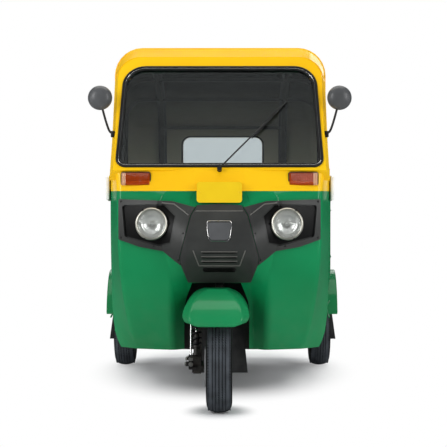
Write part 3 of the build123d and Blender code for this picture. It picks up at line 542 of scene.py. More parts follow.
def turnedItem(profile, steps):
    # a small turned fixing about the origin, its axis along Z
    return aboutOrigin([turned(profile, (0, 0, 0), (0, 0, 1), steps)])


def boxItem(centre, size, bevel=0.0, segments=1):
    return aboutOrigin([block(centre, size, bevel, segments)])


hexBolt = turnedItem([(0, 5.5), (6.2, 5.5), (7.5, 4.2), (7.5, 0.0), (0, 0)], 6)
hexBolt += turnedItem([(0, 1.4), (10, 1.4), (10.5, 0.6), (10.5, -0.4), (0, -0.4)], 20)
panHead = turnedItem([(0, 2.6), (2.2, 2.4), (4.0, 1.5), (4.8, 0.0), (4.8, -0.6), (0, -0.6)], 14)
rivetHead = turnedItem([(0, 1.8), (1.6, 1.6), (2.9, 1.0), (3.5, 0.0), (3.5, -0.5), (0, -0.5)], 10)

# camera at eye height of about one metre, seven metres ahead of the front axle
cameraLens = {"focal": 124.6, "x": 0.061, "ahead": 7.0, "height": 0.98, "down": 1.018, "left": 0.344}
eye = bpy.data.cameras.new("camera")
eye.lens = cameraLens["focal"]
eye.sensor_width = 36
camera = bpy.data.objects.new("camera", eye)
camera.location = (cameraLens["x"], axleY / 1000 - cameraLens["ahead"], cameraLens["height"])
camera.rotation_euler = (math.radians(90 - cameraLens["down"]), 0, math.radians(cameraLens["left"]))
bpy.context.scene.collection.objects.link(camera)
bpy.context.scene.camera = camera
bpy.context.scene.view_settings.view_transform = "Standard"


def softbox(name, location, aim, size, power, colour):
    data = bpy.data.lights.new(name, "AREA")
    data.shape = "RECTANGLE"
    data.size, data.size_y = size
    data.energy = power
    data.color = linear(colour)[:3]
    lamp = bpy.data.objects.new(name, data)
    lamp.location = location
    lamp.rotation_euler = (Vector(aim) - Vector(location)).to_track_quat("-Z", "Y").to_euler()
    bpy.context.scene.collection.objects.link(lamp)


softbox("overheadBox", (0, 0.5, 5.2), (0, 0.2, 0.8), (5, 4), 150, "#fffdf8")
softbox("leftFrontBox", (-4.6, -4.6, 3.0), (0, -0.6, 0.9), (1.6, 3.4), 150, "#ffffff")
softbox("rightFrontBox", (4.6, -4.8, 2.6), (0, -0.6, 0.9), (1.6, 3.4), 120, "#ffffff")
softbox("leftStrip", (-4.4, -1.9, 1.5), (0, -0.9, 0.8), (0.7, 3.0), 16, "#ffffff")
softbox("rightStrip", (4.4, -1.9, 1.5), (0, -0.9, 0.8), (0.7, 3.0), 16, "#ffffff")
softbox("rearBox", (0.5, 5.6, 3.4), (0, 0.6, 0.9), (4, 2.5), 90, "#ffffff")

world = bpy.data.worlds.new("studio")
world.use_nodes = True
bpy.context.scene.world = world
air = world.node_tree
seen = addNode(air, "ShaderNodeLightPath")
anySight = addNode(air, "ShaderNodeMath",
                   {0: seen.outputs["Is Camera Ray"], 1: seen.outputs["Is Transmission Ray"]},
                   operation="MAXIMUM")
fill = addNode(air, "ShaderNodeBackground", {"Color": linear("#eef2f6"), "Strength": 0.62})
white = addNode(air, "ShaderNodeBackground", {"Color": (1, 1, 1, 1), "Strength": 1.0})
skyHeight = addNode(air, "ShaderNodeSeparateXYZ",
                    {"Vector": addNode(air, "ShaderNodeTexCoord").outputs["Generated"]})
skyLevel = addNode(air, "ShaderNodeMapRange",
                   {"Value": skyHeight.outputs["Z"], "From Min": 0.05, "From Max": 0.7, "To Min": 0.03,
                    "To Max": 0.1})
mirrorFill = addNode(air, "ShaderNodeBackground",
                     {"Color": linear("#dfe6ea"), "Strength": skyLevel.outputs["Result"]})
indirect = addNode(air, "ShaderNodeMixShader",
                   {0: seen.outputs["Is Glossy Ray"], 1: fill.outputs[0], 2: mirrorFill.outputs[0]})
either = addNode(air, "ShaderNodeMixShader",
                 {0: anySight.outputs["Value"], 1: indirect.outputs[0], 2: white.outputs[0]})
air.links.new(either.outputs[0], air.nodes["World Output"].inputs["Surface"])

floorMaterial, floorTree, floorShader, _ = newMaterial("paleFloor", 0.85, Specular_IOR_Level=0.1)
floorRay = addNode(floorTree, "ShaderNodeLightPath")
floorShade = addNode(floorTree, "ShaderNodeMix",
                     {"Factor": floorRay.outputs["Is Glossy Ray"], "A": linear("#fbfbfb"),
                      "B": linear("#6c6e70")},
                     data_type="RGBA")
floorTree.links.new(floorShade.outputs["Result"], floorShader.inputs["Base Color"])
floorPlace = addNode(floorTree, "ShaderNodeTexCoord").outputs["Object"]


def whitening(centreY, halves, near, far):
    # how far a floor point has faded to white: nought inside an ellipse under the vehicle
    moved = addNode(floorTree, "ShaderNodeVectorMath", {0: floorPlace, 1: (0, -centreY, 0)},
                    operation="ADD")
    scaled = addNode(floorTree, "ShaderNodeVectorMath",
                     {0: moved.outputs["Vector"], 1: (1 / halves[0], 1 / halves[1], 0)},
                     operation="MULTIPLY")
    distance = addNode(floorTree, "ShaderNodeVectorMath", {0: scaled.outputs["Vector"]}, operation="LENGTH")
    return addNode(floorTree, "ShaderNodeMapRange",
                   {"Value": distance.outputs["Value"], "From Min": near, "From Max": far},
                   interpolation_type="SMOOTHSTEP").outputs["Result"]


fade = addNode(floorTree, "ShaderNodeMath",
               {0: whitening(0.75, (0.66, 1.35), 0.6, 1.18), 1: whitening(-1.06, (0.17, 0.28), 0.35, 1.1)},
               operation="MINIMUM")
whiteShare = addNode(floorTree, "ShaderNodeMath",
                     {0: fade.outputs["Value"], 1: floorRay.outputs["Is Camera Ray"]}, operation="MULTIPLY")
glow = addNode(floorTree, "ShaderNodeEmission", {"Color": (1, 1, 1, 1), "Strength": 1.0})
faded = addNode(floorTree, "ShaderNodeMixShader",
                {0: whiteShare.outputs["Value"], 1: floorShader.outputs[0], 2: glow.outputs[0]})
floorTree.links.new(faded.outputs[0], floorTree.nodes["Material Output"].inputs["Surface"])
ground = bpy.data.meshes.new("studioFloor")
ground.from_pydata([(-30, -30, 0), (30, -30, 0), (30, 30, 0), (-30, 30, 0)], [], [[0, 1, 2, 3]])
ground.materials.append(floorMaterial)
studioFloor = bpy.data.objects.new("studioFloor", ground)
bpy.context.scene.collection.objects.link(studioFloor)

carriedOver = {
    greenEnamel: ("front_cowl", "side_panel_left", "side_panel_right", "rear_panel", "engine_door",
                  "front_fender", "partition"),
    yellowEnamel: ("screen_surround",),
    yellowCanvas: ("canopy",),
    blackMoulding: ("fascia_center", "fascia_sides", "dashboard", "mirrors"),
    plateYellow: ("name_plate",),
    chromePlate: ("headlamp_shells",),
    clearLens: ("headlamp_lenses",),
    amberLens: ("turn_signals",),
    redLens: ("tail_lamps",),
    sealRubber: ("windscreen_gasket",),
    safetyGlass: ("windscreen",),
    windowVinyl: ("rear_window",),
    chassisBlack: ("wiper", "canopy_frame", "door_hinges", "rear_bumper", "floor_pan", "chassis_frame",
                   "steering_head", "driver_seat_base", "seat_box", "steering_column", "handlebar",
                   "front_arm"),
    benchVinyl: ("driver_seat", "driver_backrest", "passenger_seat", "passenger_backrest"),
    engineAlloy: ("engine",),
    springSteel: ("rear_arms", "drive_shafts", "rear_shocks", "front_shock"),
    flapRubber: ("rear_mudflaps", "front_mudflap"),
    wheelSilver: ("rear_left_rim", "rear_right_rim", "front_rim"),
    treadRubber: ("rear_left_tyre", "rear_right_tyre", "front_tyre"),
}
for material, names in carriedOver.items():
    for name in names:
        nodes[name].data.materials.clear()
        nodes[name].data.materials.append(material)
print("camera, lights and carried-over pieces ready")

# the canopy: rows give station, half-width, top and corner radius of the bows that stretch it
canopySheet = {
    "rows": [(500, 505, 1692, 130), (1050, 535, 1710, 135), (1750, 575, 1655, 140), (2100, 585, 1565, 140),
             (2400, 585, 1490, 130)],
    "front": 501.5, "doorRear": 1590, "valance": 1440, "fanStation": 1900,
    "thick": 2.0, "sag": 6.0, "ribX": 360,
    "slope": ((1650, 1900), (2330, 1400)), "back": ((2330, 1400), (2361, 1000)),
}


def roofAt(station):
    rows = np.array(canopySheet["rows"], float)
    near = np.clip(np.add.outer(np.asarray(station, float), np.linspace(-70, 70, 9)), 500, 2400)
    return [np.interp(near, rows[:, 0], rows[:, k]).mean(-1) for k in (1, 2, 3)]


def halfAt(station):
    return float(roofAt(station)[0])


def smoothMax(a, b, reach):
    return np.maximum(a, b) + np.clip(reach - np.abs(a - b), 0, None) ** 2 / (4 * reach)


def planeGap(line, station, z):
    (s0, z0), (s1, z1) = line
    long = math.hypot(s1 - s0, z1 - z0)
    return ((station - s0) * (z0 - z1) + (z - z0) * (s1 - s0)) / long


def canopyGap(x, station, z):
    half, top, radius = roofAt(station)
    sideways, upwards = np.abs(x) - (half - radius), z - (top - radius)
    arch = np.hypot(np.maximum(sideways, 0), np.maximum(upwards, 0)) + np.minimum(
        np.maximum(sideways, upwards), 0) - radius
    rear = smoothMax(planeGap(canopySheet["slope"], station, z), planeGap(canopySheet["back"], station, z),
                     63)
    return smoothMax(arch, rear, 15 + 90 * np.clip(sideways / radius, 0, 1))


def rayHits(origin, aim):
    near, far = np.zeros(len(aim)), np.full(len(aim), 1500.0)
    for _ in range(26):
        middle = (near + far) / 2
        outside = canopyGap(*(origin + aim * middle[:, None]).T) > 0
        far, near = np.where(outside, middle, far), np.where(outside, near, middle)
    return origin + aim * near[:, None]


def buildCanopy():
    facts = canopySheet
    half, top, radius = (float(v) for v in roofAt(facts["fanStation"]))
    low, valance = beltHeight + 0.6, facts["valance"]
    arc = [(half, z) for z in np.linspace(low, valance, 19)]
    arc += [(half, z) for z in np.linspace(valance, top - radius, 4)[1:]]
    arc += [(half - radius + radius * math.cos(a), top - radius + radius * math.sin(a))
            for a in np.linspace(0, math.pi / 2, 11)[1:]]
    arc += [(x, top) for x in np.linspace(half - radius, 0, 15)[1:]]
    arc = np.array(arc + [(-x, z) for x, z in arc[-2::-1]])
    rows = []
    for station in [*np.linspace(facts["front"], facts["doorRear"], 56),
                    *np.linspace(facts["doorRear"], facts["fanStation"], 16)[1:]]:
        w, t, r = (float(v) for v in roofAt(station))
        x, z = arc[:, 0], arc[:, 1]
        flatX = np.clip(np.abs(x) / (half - radius), 0, 1) * (w - r)
        cornered = np.abs(x) > half - radius
        turnX = w - r + (np.abs(x) - (half - radius)) * r / radius
        newX = np.where(cornered, turnX, flatX) * np.sign(x)
        share = np.clip((z - valance) / (top - radius - valance), 0, 1)
        newZ = np.where(z > valance, valance + share * (t - r - valance), z)
        newZ = np.where(z > top - radius, t - r + (z - (top - radius)) * r / radius, newZ)
        rows.append(np.column_stack([newX, np.full(len(arc), station), newZ]))
    origin = np.array((0.0, facts["fanStation"], low))
    direction = arc - (0, low)
    direction /= np.linalg.norm(direction, axis=1)[:, None]
    for turn in np.linspace(0, math.pi / 2, 47)[1:]:
        aim = np.column_stack([direction[:, 0], direction[:, 1] * math.sin(turn),
                               direction[:, 1] * math.cos(turn)])
        rows.append(rayHits(origin, aim))
    return np.array(rows)


def sagged(grid):
    # the cloth dips a little between bows and lengthwise ribs, with slack puckers by the rear corners
    x, station, z = grid[..., 0], grid[..., 1], grid[..., 2]
    bows = np.array([500.0, 1050.0, 1750.0, 2100.0, 2420.0])
    k = np.clip(np.searchsorted(bows, station) - 1, 0, 3)
    bay = np.sin(math.pi * np.clip((station - bows[k]) / (bows[k + 1] - bows[k]), 0, 1)) ** 2
    rib = np.exp(-((np.abs(x) - canopySheet["ribX"]) / 70) ** 2)
    roof = np.clip((z - 1400) / 80, 0, 1)
    dip = canopySheet["sag"] * bay * (1 - 0.75 * rib) * roof
    pucker = np.clip((station - 1900) / 300, 0, 1) * np.clip((z - 1100) / 60, 0, 1)
    crease = np.sin(z / 23 + 1.7 * np.sin(station / 60)) * np.sin(station / 41 + np.abs(x) / 37)
    dip = dip + pucker * 1.6 * crease
    dip = dip + 1.2 * np.clip((z - 1090) / 50, 0, 1) * np.sin(station / 95 + z / 70)
    centre = np.stack([np.zeros_like(x), np.clip(station, 0, 1900), np.full_like(z, 1150.0)], -1)
    inward = centre - grid
    inward /= np.linalg.norm(inward, axis=-1)[..., None]
    edge = np.clip((station - canopySheet["front"]) / 40, 0, 1)
    return grid + inward * (dip * edge)[..., None]


def gridFaces(rows, columns):
    return [[i * columns + j, i * columns + j + 1, (i + 1) * columns + j + 1, (i + 1) * columns + j]
            for i in range(rows - 1) for j in range(columns - 1)]


def skin(grid):
    return inFrame(grid.reshape(-1, 3)), gridFaces(*grid.shape[:2])


canopyGrid = sagged(buildCanopy())
rowCount, columnCount = canopyGrid.shape[:2]
doorRow = 55
sideRows = 18
canopyFaces = []
for number, face in enumerate(gridFaces(rowCount, columnCount)):
    row, column = divmod(number, columnCount - 1)
    overDoor = row < doorRow and not sideRows <= column < columnCount - 1 - sideRows
    if not overDoor:
        canopyFaces.append(face)
canopyMesh = meshOf("canopySheet", [(inFrame(canopyGrid.reshape(-1, 3)), canopyFaces)], weld=0.0004)
cleaner = bmesh.new()
cleaner.from_mesh(canopyMesh)
bmesh.ops.delete(cleaner, geom=[v for v in cleaner.verts if not v.link_faces], context="VERTS")
top = max(cleaner.faces, key=lambda f: f.calc_center_median().z)
if top.normal.z < 0:
    bmesh.ops.reverse_faces(cleaner, faces=cleaner.faces)
cleaner.to_mesh(canopyMesh)
cleaner.free()
canopy = piece("canopySheet", canopyMesh, yellowCanvas, replaces=("canopy",), angle=60)
canopyMesh.materials.append(darkLining)
wall = canopy.modifiers.new("wall", "SOLIDIFY")
wall.thickness = canopySheet["thick"] / 1000
wall.offset = -1.0
wall.use_even_offset = False
wall.material_offset = 1
settled(canopy)
rearWindow = {"half": 237, "halfHigh": 110, "corner": 45, "middle": (0, 1221), "cutFrom": 2280, "cutTo": 2440}


def windowOutline(wider=0, taller=0, rounder=0):
    return roundedOutline(rearWindow["half"] + wider, rearWindow["halfHigh"] + taller,
                          rearWindow["corner"] + rounder, 8, rearWindow["middle"])


cutDepth = rearWindow["cutTo"] - rearWindow["cutFrom"]
windowCut = slab(windowOutline(), (0, rearWindow["cutFrom"], 0), (-1, 0, 0), (0, 0, 1), cutDepth)
windowHole = bpy.data.objects.new("windowHole", meshOf("windowHole", [windowCut]))
bpy.context.scene.collection.objects.link(windowHole)
cut = canopy.modifiers.new("window", "BOOLEAN")
cut.operation = "DIFFERENCE"
cut.solver = "EXACT"
cut.object = windowHole
settled(canopy)
bpy.data.objects.remove(windowHole)
shadeByAngle(canopy.data, 60)
print("canopy stretched:", len(canopy.data.polygons), "faces")

shapes = {}


def reach(name, start, aim):
    # where a ray in mm meets a carried-over piece, and the way out of its surface there
    if name not in shapes:
        mesh = nodes[name].data
        shapes[name] = BVHTree.FromPolygons([v.co for v in mesh.vertices],
                                            [f.vertices for f in mesh.polygons])
    hit, normal, _, _ = shapes[name].ray_cast(Vector(place(*start)), Vector(aim))
    if hit is None:
        raise ValueError(f"no surface of {name} from {start} along {aim}")
    normal = np.array(normal) * (1 if np.dot(normal, aim) < 0 else -1)
    return np.array(hit) * 1000 - (0, axleY, 0), normal


def traced(name, points, aim=(0, 1, 0), lift=0.0, start=-400, count=8):
    # a line of (across, up) points laid on a surface, in mm
    line = []
    for a, b in zip(points, points[1:]):
        for t in np.arange(count) / count:
            line.append(np.array(a, float) * (1 - t) + np.array(b, float) * t)
    line.append(np.array(points[-1], float))
    found = []
    for u, v in line:
        ray = (u, start, v) if aim[1] else (start, u, v) if aim[0] else (u, v, start)
        hit, out = reach(name, ray, aim)
        found.append(hit + out * lift)
    return np.array(found)


def fieldBlock(xs, zs, front, back):
    # a lens or panel whose front is a relief over x and z, closed by a flat back
    rows = [[(x, front(x, z), z) for x in xs] for z in zs]
    rear = [[(x, back(x, z), z) for x in xs] for z in zs]
    points = np.array(rows + rear, float).reshape(-1, 3)
    wide, high = len(xs), len(zs)
    faces = gridFaces(high, wide)
    faces += [[i + wide * high for i in reversed(face)] for face in gridFaces(high, wide)]
    rim = list(range(wide)) + [r * wide + wide - 1 for r in range(1, high)]
    rim += [(high - 1) * wide + c for c in range(wide - 2, -1, -1)]
    rim += [r * wide for r in range(high - 2, 0, -1)]
    for a, b in zip(rim, rim[1:] + rim[:1]):
        faces.append([b, a, a + wide * high, b + wide * high])
    return inFrame(points), faces


# headlamps: bright rim, polished bowl, bulb and a fluted lens
headlamp = {"x": 308, "z": 853, "face": 10, "lens": 62.5, "pocket": 73, "clips": (122, 3, 245)}
rimProfile = [(62.5, 4), (62.5, -1), (64, -4.5), (67.5, -6), (71, -4.5), (73.5, -1), (73.5, 3), (69.8, 4),
              (69.8, 82), (66, 84), (64, 40), (62.5, 4)]
bowlProfile = [(62.4, 3), (61, 9), (57.5, 16), (56.5, 16.5), (52, 24), (50.8, 24.4), (45, 32), (43.6, 32.4),
               (37, 39), (35.4, 39.4), (28, 45), (26.4, 45.4), (18, 50.5), (12, 53), (9, 62), (0, 64)]
bulbProfile = [(0, 22), (4, 23), (7, 27), (8, 34), (8, 44), (11, 46), (11, 60), (0, 60)]
flutes = [(r, -8.6 + 12.0 * (r / headlamp["lens"]) ** 2.2) for r in np.linspace(0, 62, 16)]
inside = [(r, -6.4 + 11.6 * (r / headlamp["lens"]) ** 2.2 + 0.22 * math.cos(r * 1.05))
          for r in np.linspace(61.5, 0, 44)]
rims, bowls, bulbs, lenses, clips = [], [], [], [], []
for side in (-1, 1):
    centre = (side * headlamp["x"], headlamp["face"], headlamp["z"])
    rims.append(turned(rimProfile, centre, steps=96))
    bowls.append(turned(bowlProfile, centre, steps=96))
    bulbs.append(turned(bulbProfile, centre, steps=24))
    lenses.append(turned(flutes + inside, centre, steps=96))
    for angle in headlamp["clips"]:
        turn = math.radians(angle if side < 0 else 180 - angle)
        clips.append(block((centre[0] + 75 * math.cos(turn), 12, centre[2] + 75 * math.sin(turn)),
                           (9, 14, 9), 2))
piece("headlampRims", rims, trimSatin, replaces=("headlamp_shells",), angle=40)
piece("headlampBowls", bowls, reflectorMetal, angle=30)
piece("headlampBulbs", bulbs, chromePlate)
piece("headlampGlass", lenses, clearLens, replaces=("headlamp_lenses",), angle=180)
piece("headlampClips", clips, blackAndPaintedShade)

# painted shade: a glossier skin, darker than the rest of the fascia, covers the pockets round the headlamps
# and stands for the shade in their recesses
pocketEdge = [(441, 934), (253, 937), (202, 888), (225, 770), (275, 759), (429, 797)]
pocketSkins = []
for side in (-1, 1):
    rings = []
    for turn in np.linspace(0, 2 * math.pi, 97)[:-1]:
        way = np.array((math.cos(turn), math.sin(turn)))
        far = 400.0
        for (x0, z0), (x1, z1) in zip(pocketEdge, pocketEdge[1:] + pocketEdge[:1]):
            edge = np.array((x1 - x0, z1 - z0))
            gap = np.array((x0 - headlamp["x"], z0 - headlamp["z"]))
            cross = way[0] * edge[1] - way[1] * edge[0]
            if abs(cross) > 1e-9:
                t = (gap[0] * edge[1] - gap[1] * edge[0]) / cross
                u = (gap[0] * way[1] - gap[1] * way[0]) / cross
                if t > 0 and -1e-6 <= u <= 1 + 1e-6:
                    far = min(far, t)
        column = []
        for share in np.linspace(0, 1, 6):
            spot = way * (headlamp["pocket"] + (far - headlamp["pocket"]) * share)
            hit, out = reach("fascia_sides",
                             (side * (headlamp["x"] + spot[0]), -400, headlamp["z"] + spot[1]), (0, 1, 0))
            column.append(hit + out * 0.7)
        rings.append(column)
    pocketSkins.append(skin(np.array(rings + rings[:1])))
piece("pocketSkins", pocketSkins, blackAndPaintedShade, angle=60)

# turn signals: ribbed amber lens with a clear outer end over a bright backing, in a thin bezel
signal = {"inner": 320, "outer": 450, "low": 1029, "high": 1087, "face": 92, "split": 430}
signalZ = np.concatenate([[signal["low"]], np.linspace(signal["low"] + 2, signal["high"] - 2, 11),
                          [signal["high"]]])


def signalFront(x, z):
    inset = min(abs(x) - signal["inner"], signal["outer"] - abs(x), z - signal["low"], signal["high"] - z)
    rounded = 7 * max(0.0, 1 - inset / 6) ** 2
    return signal["face"] + 1.2 + rounded - 0.9 * math.cos(abs(x) * 2 * math.pi / 7.5)


def signalBack(x, z):
    return signal["face"] + 9.5 + (abs(x) - signal["inner"]) * 0.088


def onSide(side, a, b, count):
    return np.linspace(a, b, count) if side > 0 else np.linspace(-b, -a, count)


amber, clear, backing, bezel = [], [], [], []
for side in (-1, 1):
    amber.append(fieldBlock(onSide(side, signal["inner"], signal["split"], 64), signalZ, signalFront,
                            signalBack))
    clear.append(fieldBlock(onSide(side, signal["split"] + 0.4, signal["outer"], 18), signalZ, signalFront,
                            signalBack))
    backing.append(fieldBlock(onSide(side, signal["inner"] + 2, signal["outer"] - 2, 3),
                              signalZ[[0, -1]] + (2, -2),
                              lambda x, z: signalBack(x, z) + 0.4, lambda x, z: signalBack(x, z) + 1.6))
    outline = roundedOutline(67, 31, 9, 6, (side * 385, 1058))
    bezel.append(tube([(x, signalBack(x, z) + 1.5, z) for x, z in outline], 3.2, 8, closed=True))
piece("signalLenses", amber, amberLens, replaces=("turn_signals",), angle=50)
piece("signalEnds", clear, paleAmberLens, angle=50)
piece("signalBackings", backing, trimSatin)
piece("signalBezels", bezel, sealRubber, angle=180)

# bare shield badge, louvres, air intake and pressed ridges on the centre of the fascia
shield = [(-50, 866), (50, 866), (57, 858), (48, 789), (39, 778), (-39, 778), (-48, 789), (-57, 858)]
ring = traced("fascia_center", shield + shield[:1], lift=1.2, count=3)[:-1]
centrePoint, shieldOut = reach("fascia_center", (0, -400, 822), (0, 1, 0))
piece("badgeRim", [tube(ring, 3.6, 10, closed=True, flat=0.7)], chromePlate, angle=180)
upShield = np.cross((1, 0, 0), shieldOut) * -1
infill = [(x * 0.94, (z - 822) * 0.94) for x, z in shield]
piece("badgeField", [slab(infill, centrePoint - shieldOut * 1.5, (1, 0, 0), upShield, 2.6, 0.8)],
      greyMoulding)


def fasciaBar(half, height, lift, radius, steps, flat):
    line = traced("fascia_center", [(-half, height), (half, height)], lift=lift, count=12)
    return tube(line, radius, steps, flat=flat)


louvre = {"heights": (729, 707, 686), "half": 82}
intake = {"heights": (652, 647, 642, 637), "half": 76, "middle": 646}
# the louvre lips are drawn in the lighter crease moulding, a painted highlight
louvres = [fasciaBar(louvre["half"], z, 0.4, 2.4, 10, 1.0) for z in louvre["heights"]]
# painted shade: near-black strips under each louvre and across the intake stand for the shade inside the
# openings
slotShadeLines = [fasciaBar(louvre["half"] - 3, z - 6, 1.0, 4.2, 8, 0.5) for z in louvre["heights"]]
slotShadeLines += [fasciaBar(intake["half"] - abs(z - intake["middle"]) * 0.6, z, 1.4, 4.0, 8, 0.5)
          for z in intake["heights"]]
piece("fasciaLouvres", louvres, creaseHighlight, angle=180)
piece("fasciaSlots", slotShadeLines, blackAndPaintedShade, angle=180)
# the pressed ridges are drawn in the lighter crease moulding, a painted highlight
ridges = [[(-108, 912), (108, 912)], [(-118, 735), (-92, 664), (92, 664), (118, 735)]]
pressed = [tube(traced("fascia_center", line, lift=-0.6, count=10), 3.0, 8) for line in ridges]
piece("fasciaRidges", pressed, creaseHighlight, angle=180)
# the side ridges are drawn in the lighter crease moulding as well, a painted highlight
sideRidges = []
for side in (-1, 1):
    line = [(side * x, z) for x, z in ((139, 893), (152, 904), (205, 943), (262, 949))]
    sideRidges.append(tube(traced("fascia_sides", line, lift=-0.8, count=8), 3.2, 8))
piece("fasciaSideRidges", sideRidges, creaseHighlight, angle=180)


def onSurface(name, places):
    # where rays from ahead at each (x, z) meet the piece, with the way each fixing faces
    found = [reach(name, (x, -400, z), (0, 1, 0)) for x, z in places]
    return [(*hit, out, (1, 0, 0.01)) for hit, out in found]


screwPlaces = ((150, 905), (163, 812), (452, 790), (452, 955), (186, 690), (300, 752))
screwSpots = onSurface("fascia_sides", [(side * x, z) for side in (-1, 1) for x, z in screwPlaces])
repeated("fasciaScrews", panHead, screwSpots, chassisBlack)
rivetSpots = onSurface("name_plate", ((-88, 997), (88, 997)))
repeated("plateRivets", rivetHead, rivetSpots, plateYellow)
print("front lamps and fascia done")

# windscreen plane helpers, then the bright filler strip in the gasket and the wiper
screen = {"foot": 1110, "station": 112, "rake": math.radians(24.4)}
screenUp = np.array((0, math.sin(screen["rake"]), math.cos(screen["rake"])))
screenOut = np.array((0, -math.cos(screen["rake"]), math.sin(screen["rake"])))


def onScreen(x, up, out=0.0):
    return np.array((x, screen["station"], screen["foot"])) + screenUp * up + screenOut * out


def screenRing(inset, out):
    head, foot = 480 / math.cos(screen["rake"]) - inset, 4 / math.cos(screen["rake"]) + inset
    low, high = 476 - inset, 455 - inset
    points = []
    for x, up, radius, first in ((high, head, 105, 0), (-high, head, 105, 90), (-low, foot, 42, 180),
                                 (low, foot, 42, 270)):
        r = radius - inset
        middle = (x - math.copysign(r, x), up - r if up > 200 else up + r)
        for k in range(9):
            angle = math.radians(first + 90 * k / 8)
            points.append(onScreen(middle[0] + r * math.cos(angle), middle[1] + r * math.sin(angle), out))
    return points


piece("gasketStrip", [tube(screenRing(9.5, 3.6), 3.0, 8, closed=True, flat=0.6)], chromePlate,
      angle=180)
piece("gasketLip", [tube(screenRing(1.5, 2.5), 5.0, 10, closed=True),
                    tube(screenRing(16, 1.5), 3.4, 8, closed=True)],
      sealRubber, angle=180)
armPath = [onScreen(0, -14, 6), onScreen(3, -10, 24), onScreen(60, 52, 27), onScreen(140, 141, 25),
           onScreen(212, 221, 17)]
bladeStart, bladeEnd = np.array((150.0, 148.0)), np.array((318.0, 348.0))
bladeWay = (bladeEnd - bladeStart) / np.linalg.norm(bladeEnd - bladeStart)
bladeSide = np.array((-bladeWay[1], bladeWay[0]))
bars, rubbers = [], []
for shift in (-6, 6):
    a, b = bladeStart + bladeSide * shift + bladeWay * 12, bladeEnd + bladeSide * shift * 0.2 - bladeWay * 40
    bars.append(tube([onScreen(*a, 9), onScreen(*((a + b) / 2), 16), onScreen(*b, 9)], 2.4, 8, smooth=6))
for t in (0.08, 0.36, 0.64, 0.9):
    spot = bladeStart + (bladeEnd - bladeStart) * t
    bars.append(tube([onScreen(*(spot - bladeSide * 7), 9), onScreen(*(spot + bladeSide * 7), 9)], 2.6, 8))
rubbers.append(tube([onScreen(*bladeStart, 5), onScreen(*bladeEnd, 5)], 4.0, 8, flat=0.6))
spindle = tube([onScreen(0, -14, -6), onScreen(0, -14, 26)], 11, 20)
piece("wiperArm", [tube(armPath, 3.6, 10), spindle], chassisBlack, replaces=("wiper",),
      angle=60)
piece("wiperBlade", bars + rubbers, sealRubber, angle=60)
print("windscreen dressed")

# wheels: a ribbed tyre whose zigzag grooves repeat ninety-three times round it, nuts, hub cap and valve
tyre = {"crown": 207, "drop": 10, "tread": 45, "pitches": 93, "depth": 5.5}
hub = {"nuts": 5, "nutRing": 74, "nutFace": 21, "capFace": 28}
wheelPlaces = {
    "front": ("front_wheel", (0, 0, 207), 1),
    "rearLeft": ("rear_left_wheel", (561.5, 2000, 207), 1),
    "rearRight": ("rear_right_wheel", (-561.5, 2000, 207), -1),
}


def crown(x):
    return tyre["crown"] - tyre["drop"] * (abs(x) / tyre["tread"]) ** 2


grooveFloor = [(crown(x) - tyre["depth"], x) for x in np.linspace(-tyre["tread"], tyre["tread"], 13)]
wallOut = [(188, 52), (176, 57), (160, 59), (146, 58), (144.5, 56.6), (141, 56.6), (139.5, 57.2), (130, 54),
           (118, 47), (109, 41), (108, 36)]
wallIn = [(r, -x) for r, x in wallOut[::-1]]
carcass = wallIn + grooveFloor + wallOut
ribEdges = [-46, -31, -26, -18, -13, -2.5, 2.5, 13, 18, 26, 31, 46]
pitchLong = 2 * math.pi * tyre["crown"] / tyre["pitches"]
ribParts = []
for left, right in zip(ribEdges[::2], ribEdges[1::2]):
    points, faces = [], []
    for step in (-0.5, 0.0, 0.5):
        sway = 3.0 if step == 0 else -3.0
        for x in (left, right):
            edge = abs(x) == 46
            xs = x if edge else x + sway
            top = crown(xs) - tyre["crown"]
            points += [(xs, step * pitchLong, top), (xs, step * pitchLong, top - tyre["depth"] - 0.6)]
    for a in (0, 4):
        faces += [[a, a + 2, a + 6, a + 4], [a + 1, a, a + 4, a + 5], [a + 2, a + 3, a + 7, a + 6]]
    ribParts.append((np.array(points) / 1000, faces))
for x in (-49, 49):
    ribParts += boxItem((x, 0, -15), (5, 5.5, 12))


def ringSpots(centre, radius, count, x=0.0, phase=0.0, facing=None):
    out = []
    for k in range(count):
        turn = 2 * math.pi * (k + phase) / count
        way = (0, math.cos(turn), math.sin(turn))
        at = (centre[0] + x, centre[1] + radius * way[1], centre[2] + radius * way[2])
        out.append((*at, facing or way, (1, 0, 0) if facing is None else way))
    return out


for word, (body, centre, outer) in wheelPlaces.items():
    pitches = ringSpots(centre, tyre["crown"], tyre["pitches"])
    repeated(word + "Tread", ribParts, pitches, treadRubber, body, angle=30)
    piece(word + "Carcass", [turned(carcass, centre, axis=(1, 0, 0), steps=128)], wallRubber, body,
          replaces=(body.replace("wheel", "tyre"),), angle=40)
    nutSpots = ringSpots(centre, hub["nutRing"], hub["nuts"], outer * hub["nutFace"], 0.3, (outer, 0, 0))
    repeated(word + "Nuts", hexBolt, nutSpots, zincPlate, body)
    dome = [(31, 0), (31, 4), (28, 9), (20, 13.5), (9, 15.5), (0, 16)]
    capProfile = [(r, (hub["capFace"] + a) * outer) for r, a in dome]
    hubCap = turned(capProfile, centre, axis=(1, 0, 0), steps=32)
    piece(word + "HubCap", [hubCap], zincPlate, body)
    stem = [(centre[0] + outer * x, centre[1] + 70, centre[2] + 60 + z)
            for x, z in ((14, 0), (30, -3), (46, -12))]
    piece(word + "Valve", [tube(stem, [3.2, 3.2, 2.6], 8)], sealRubber, body)
print("tyres treaded")

# front leg: coil spring over a damper, its bright rod and the brake bracket
strut = {"x": -103, "low": (-62, 262), "high": (20, 470), "coil": 25, "wire": 4.6, "turns": 7}


def strutPoint(x, low, high, share, radius=0.0, turn=0.0):
    low, high = np.array((x, *low), float), np.array((x, *high), float)
    _, side, other = across(high - low)
    return low + (high - low) * share + (side * math.cos(turn) + other * math.sin(turn)) * radius


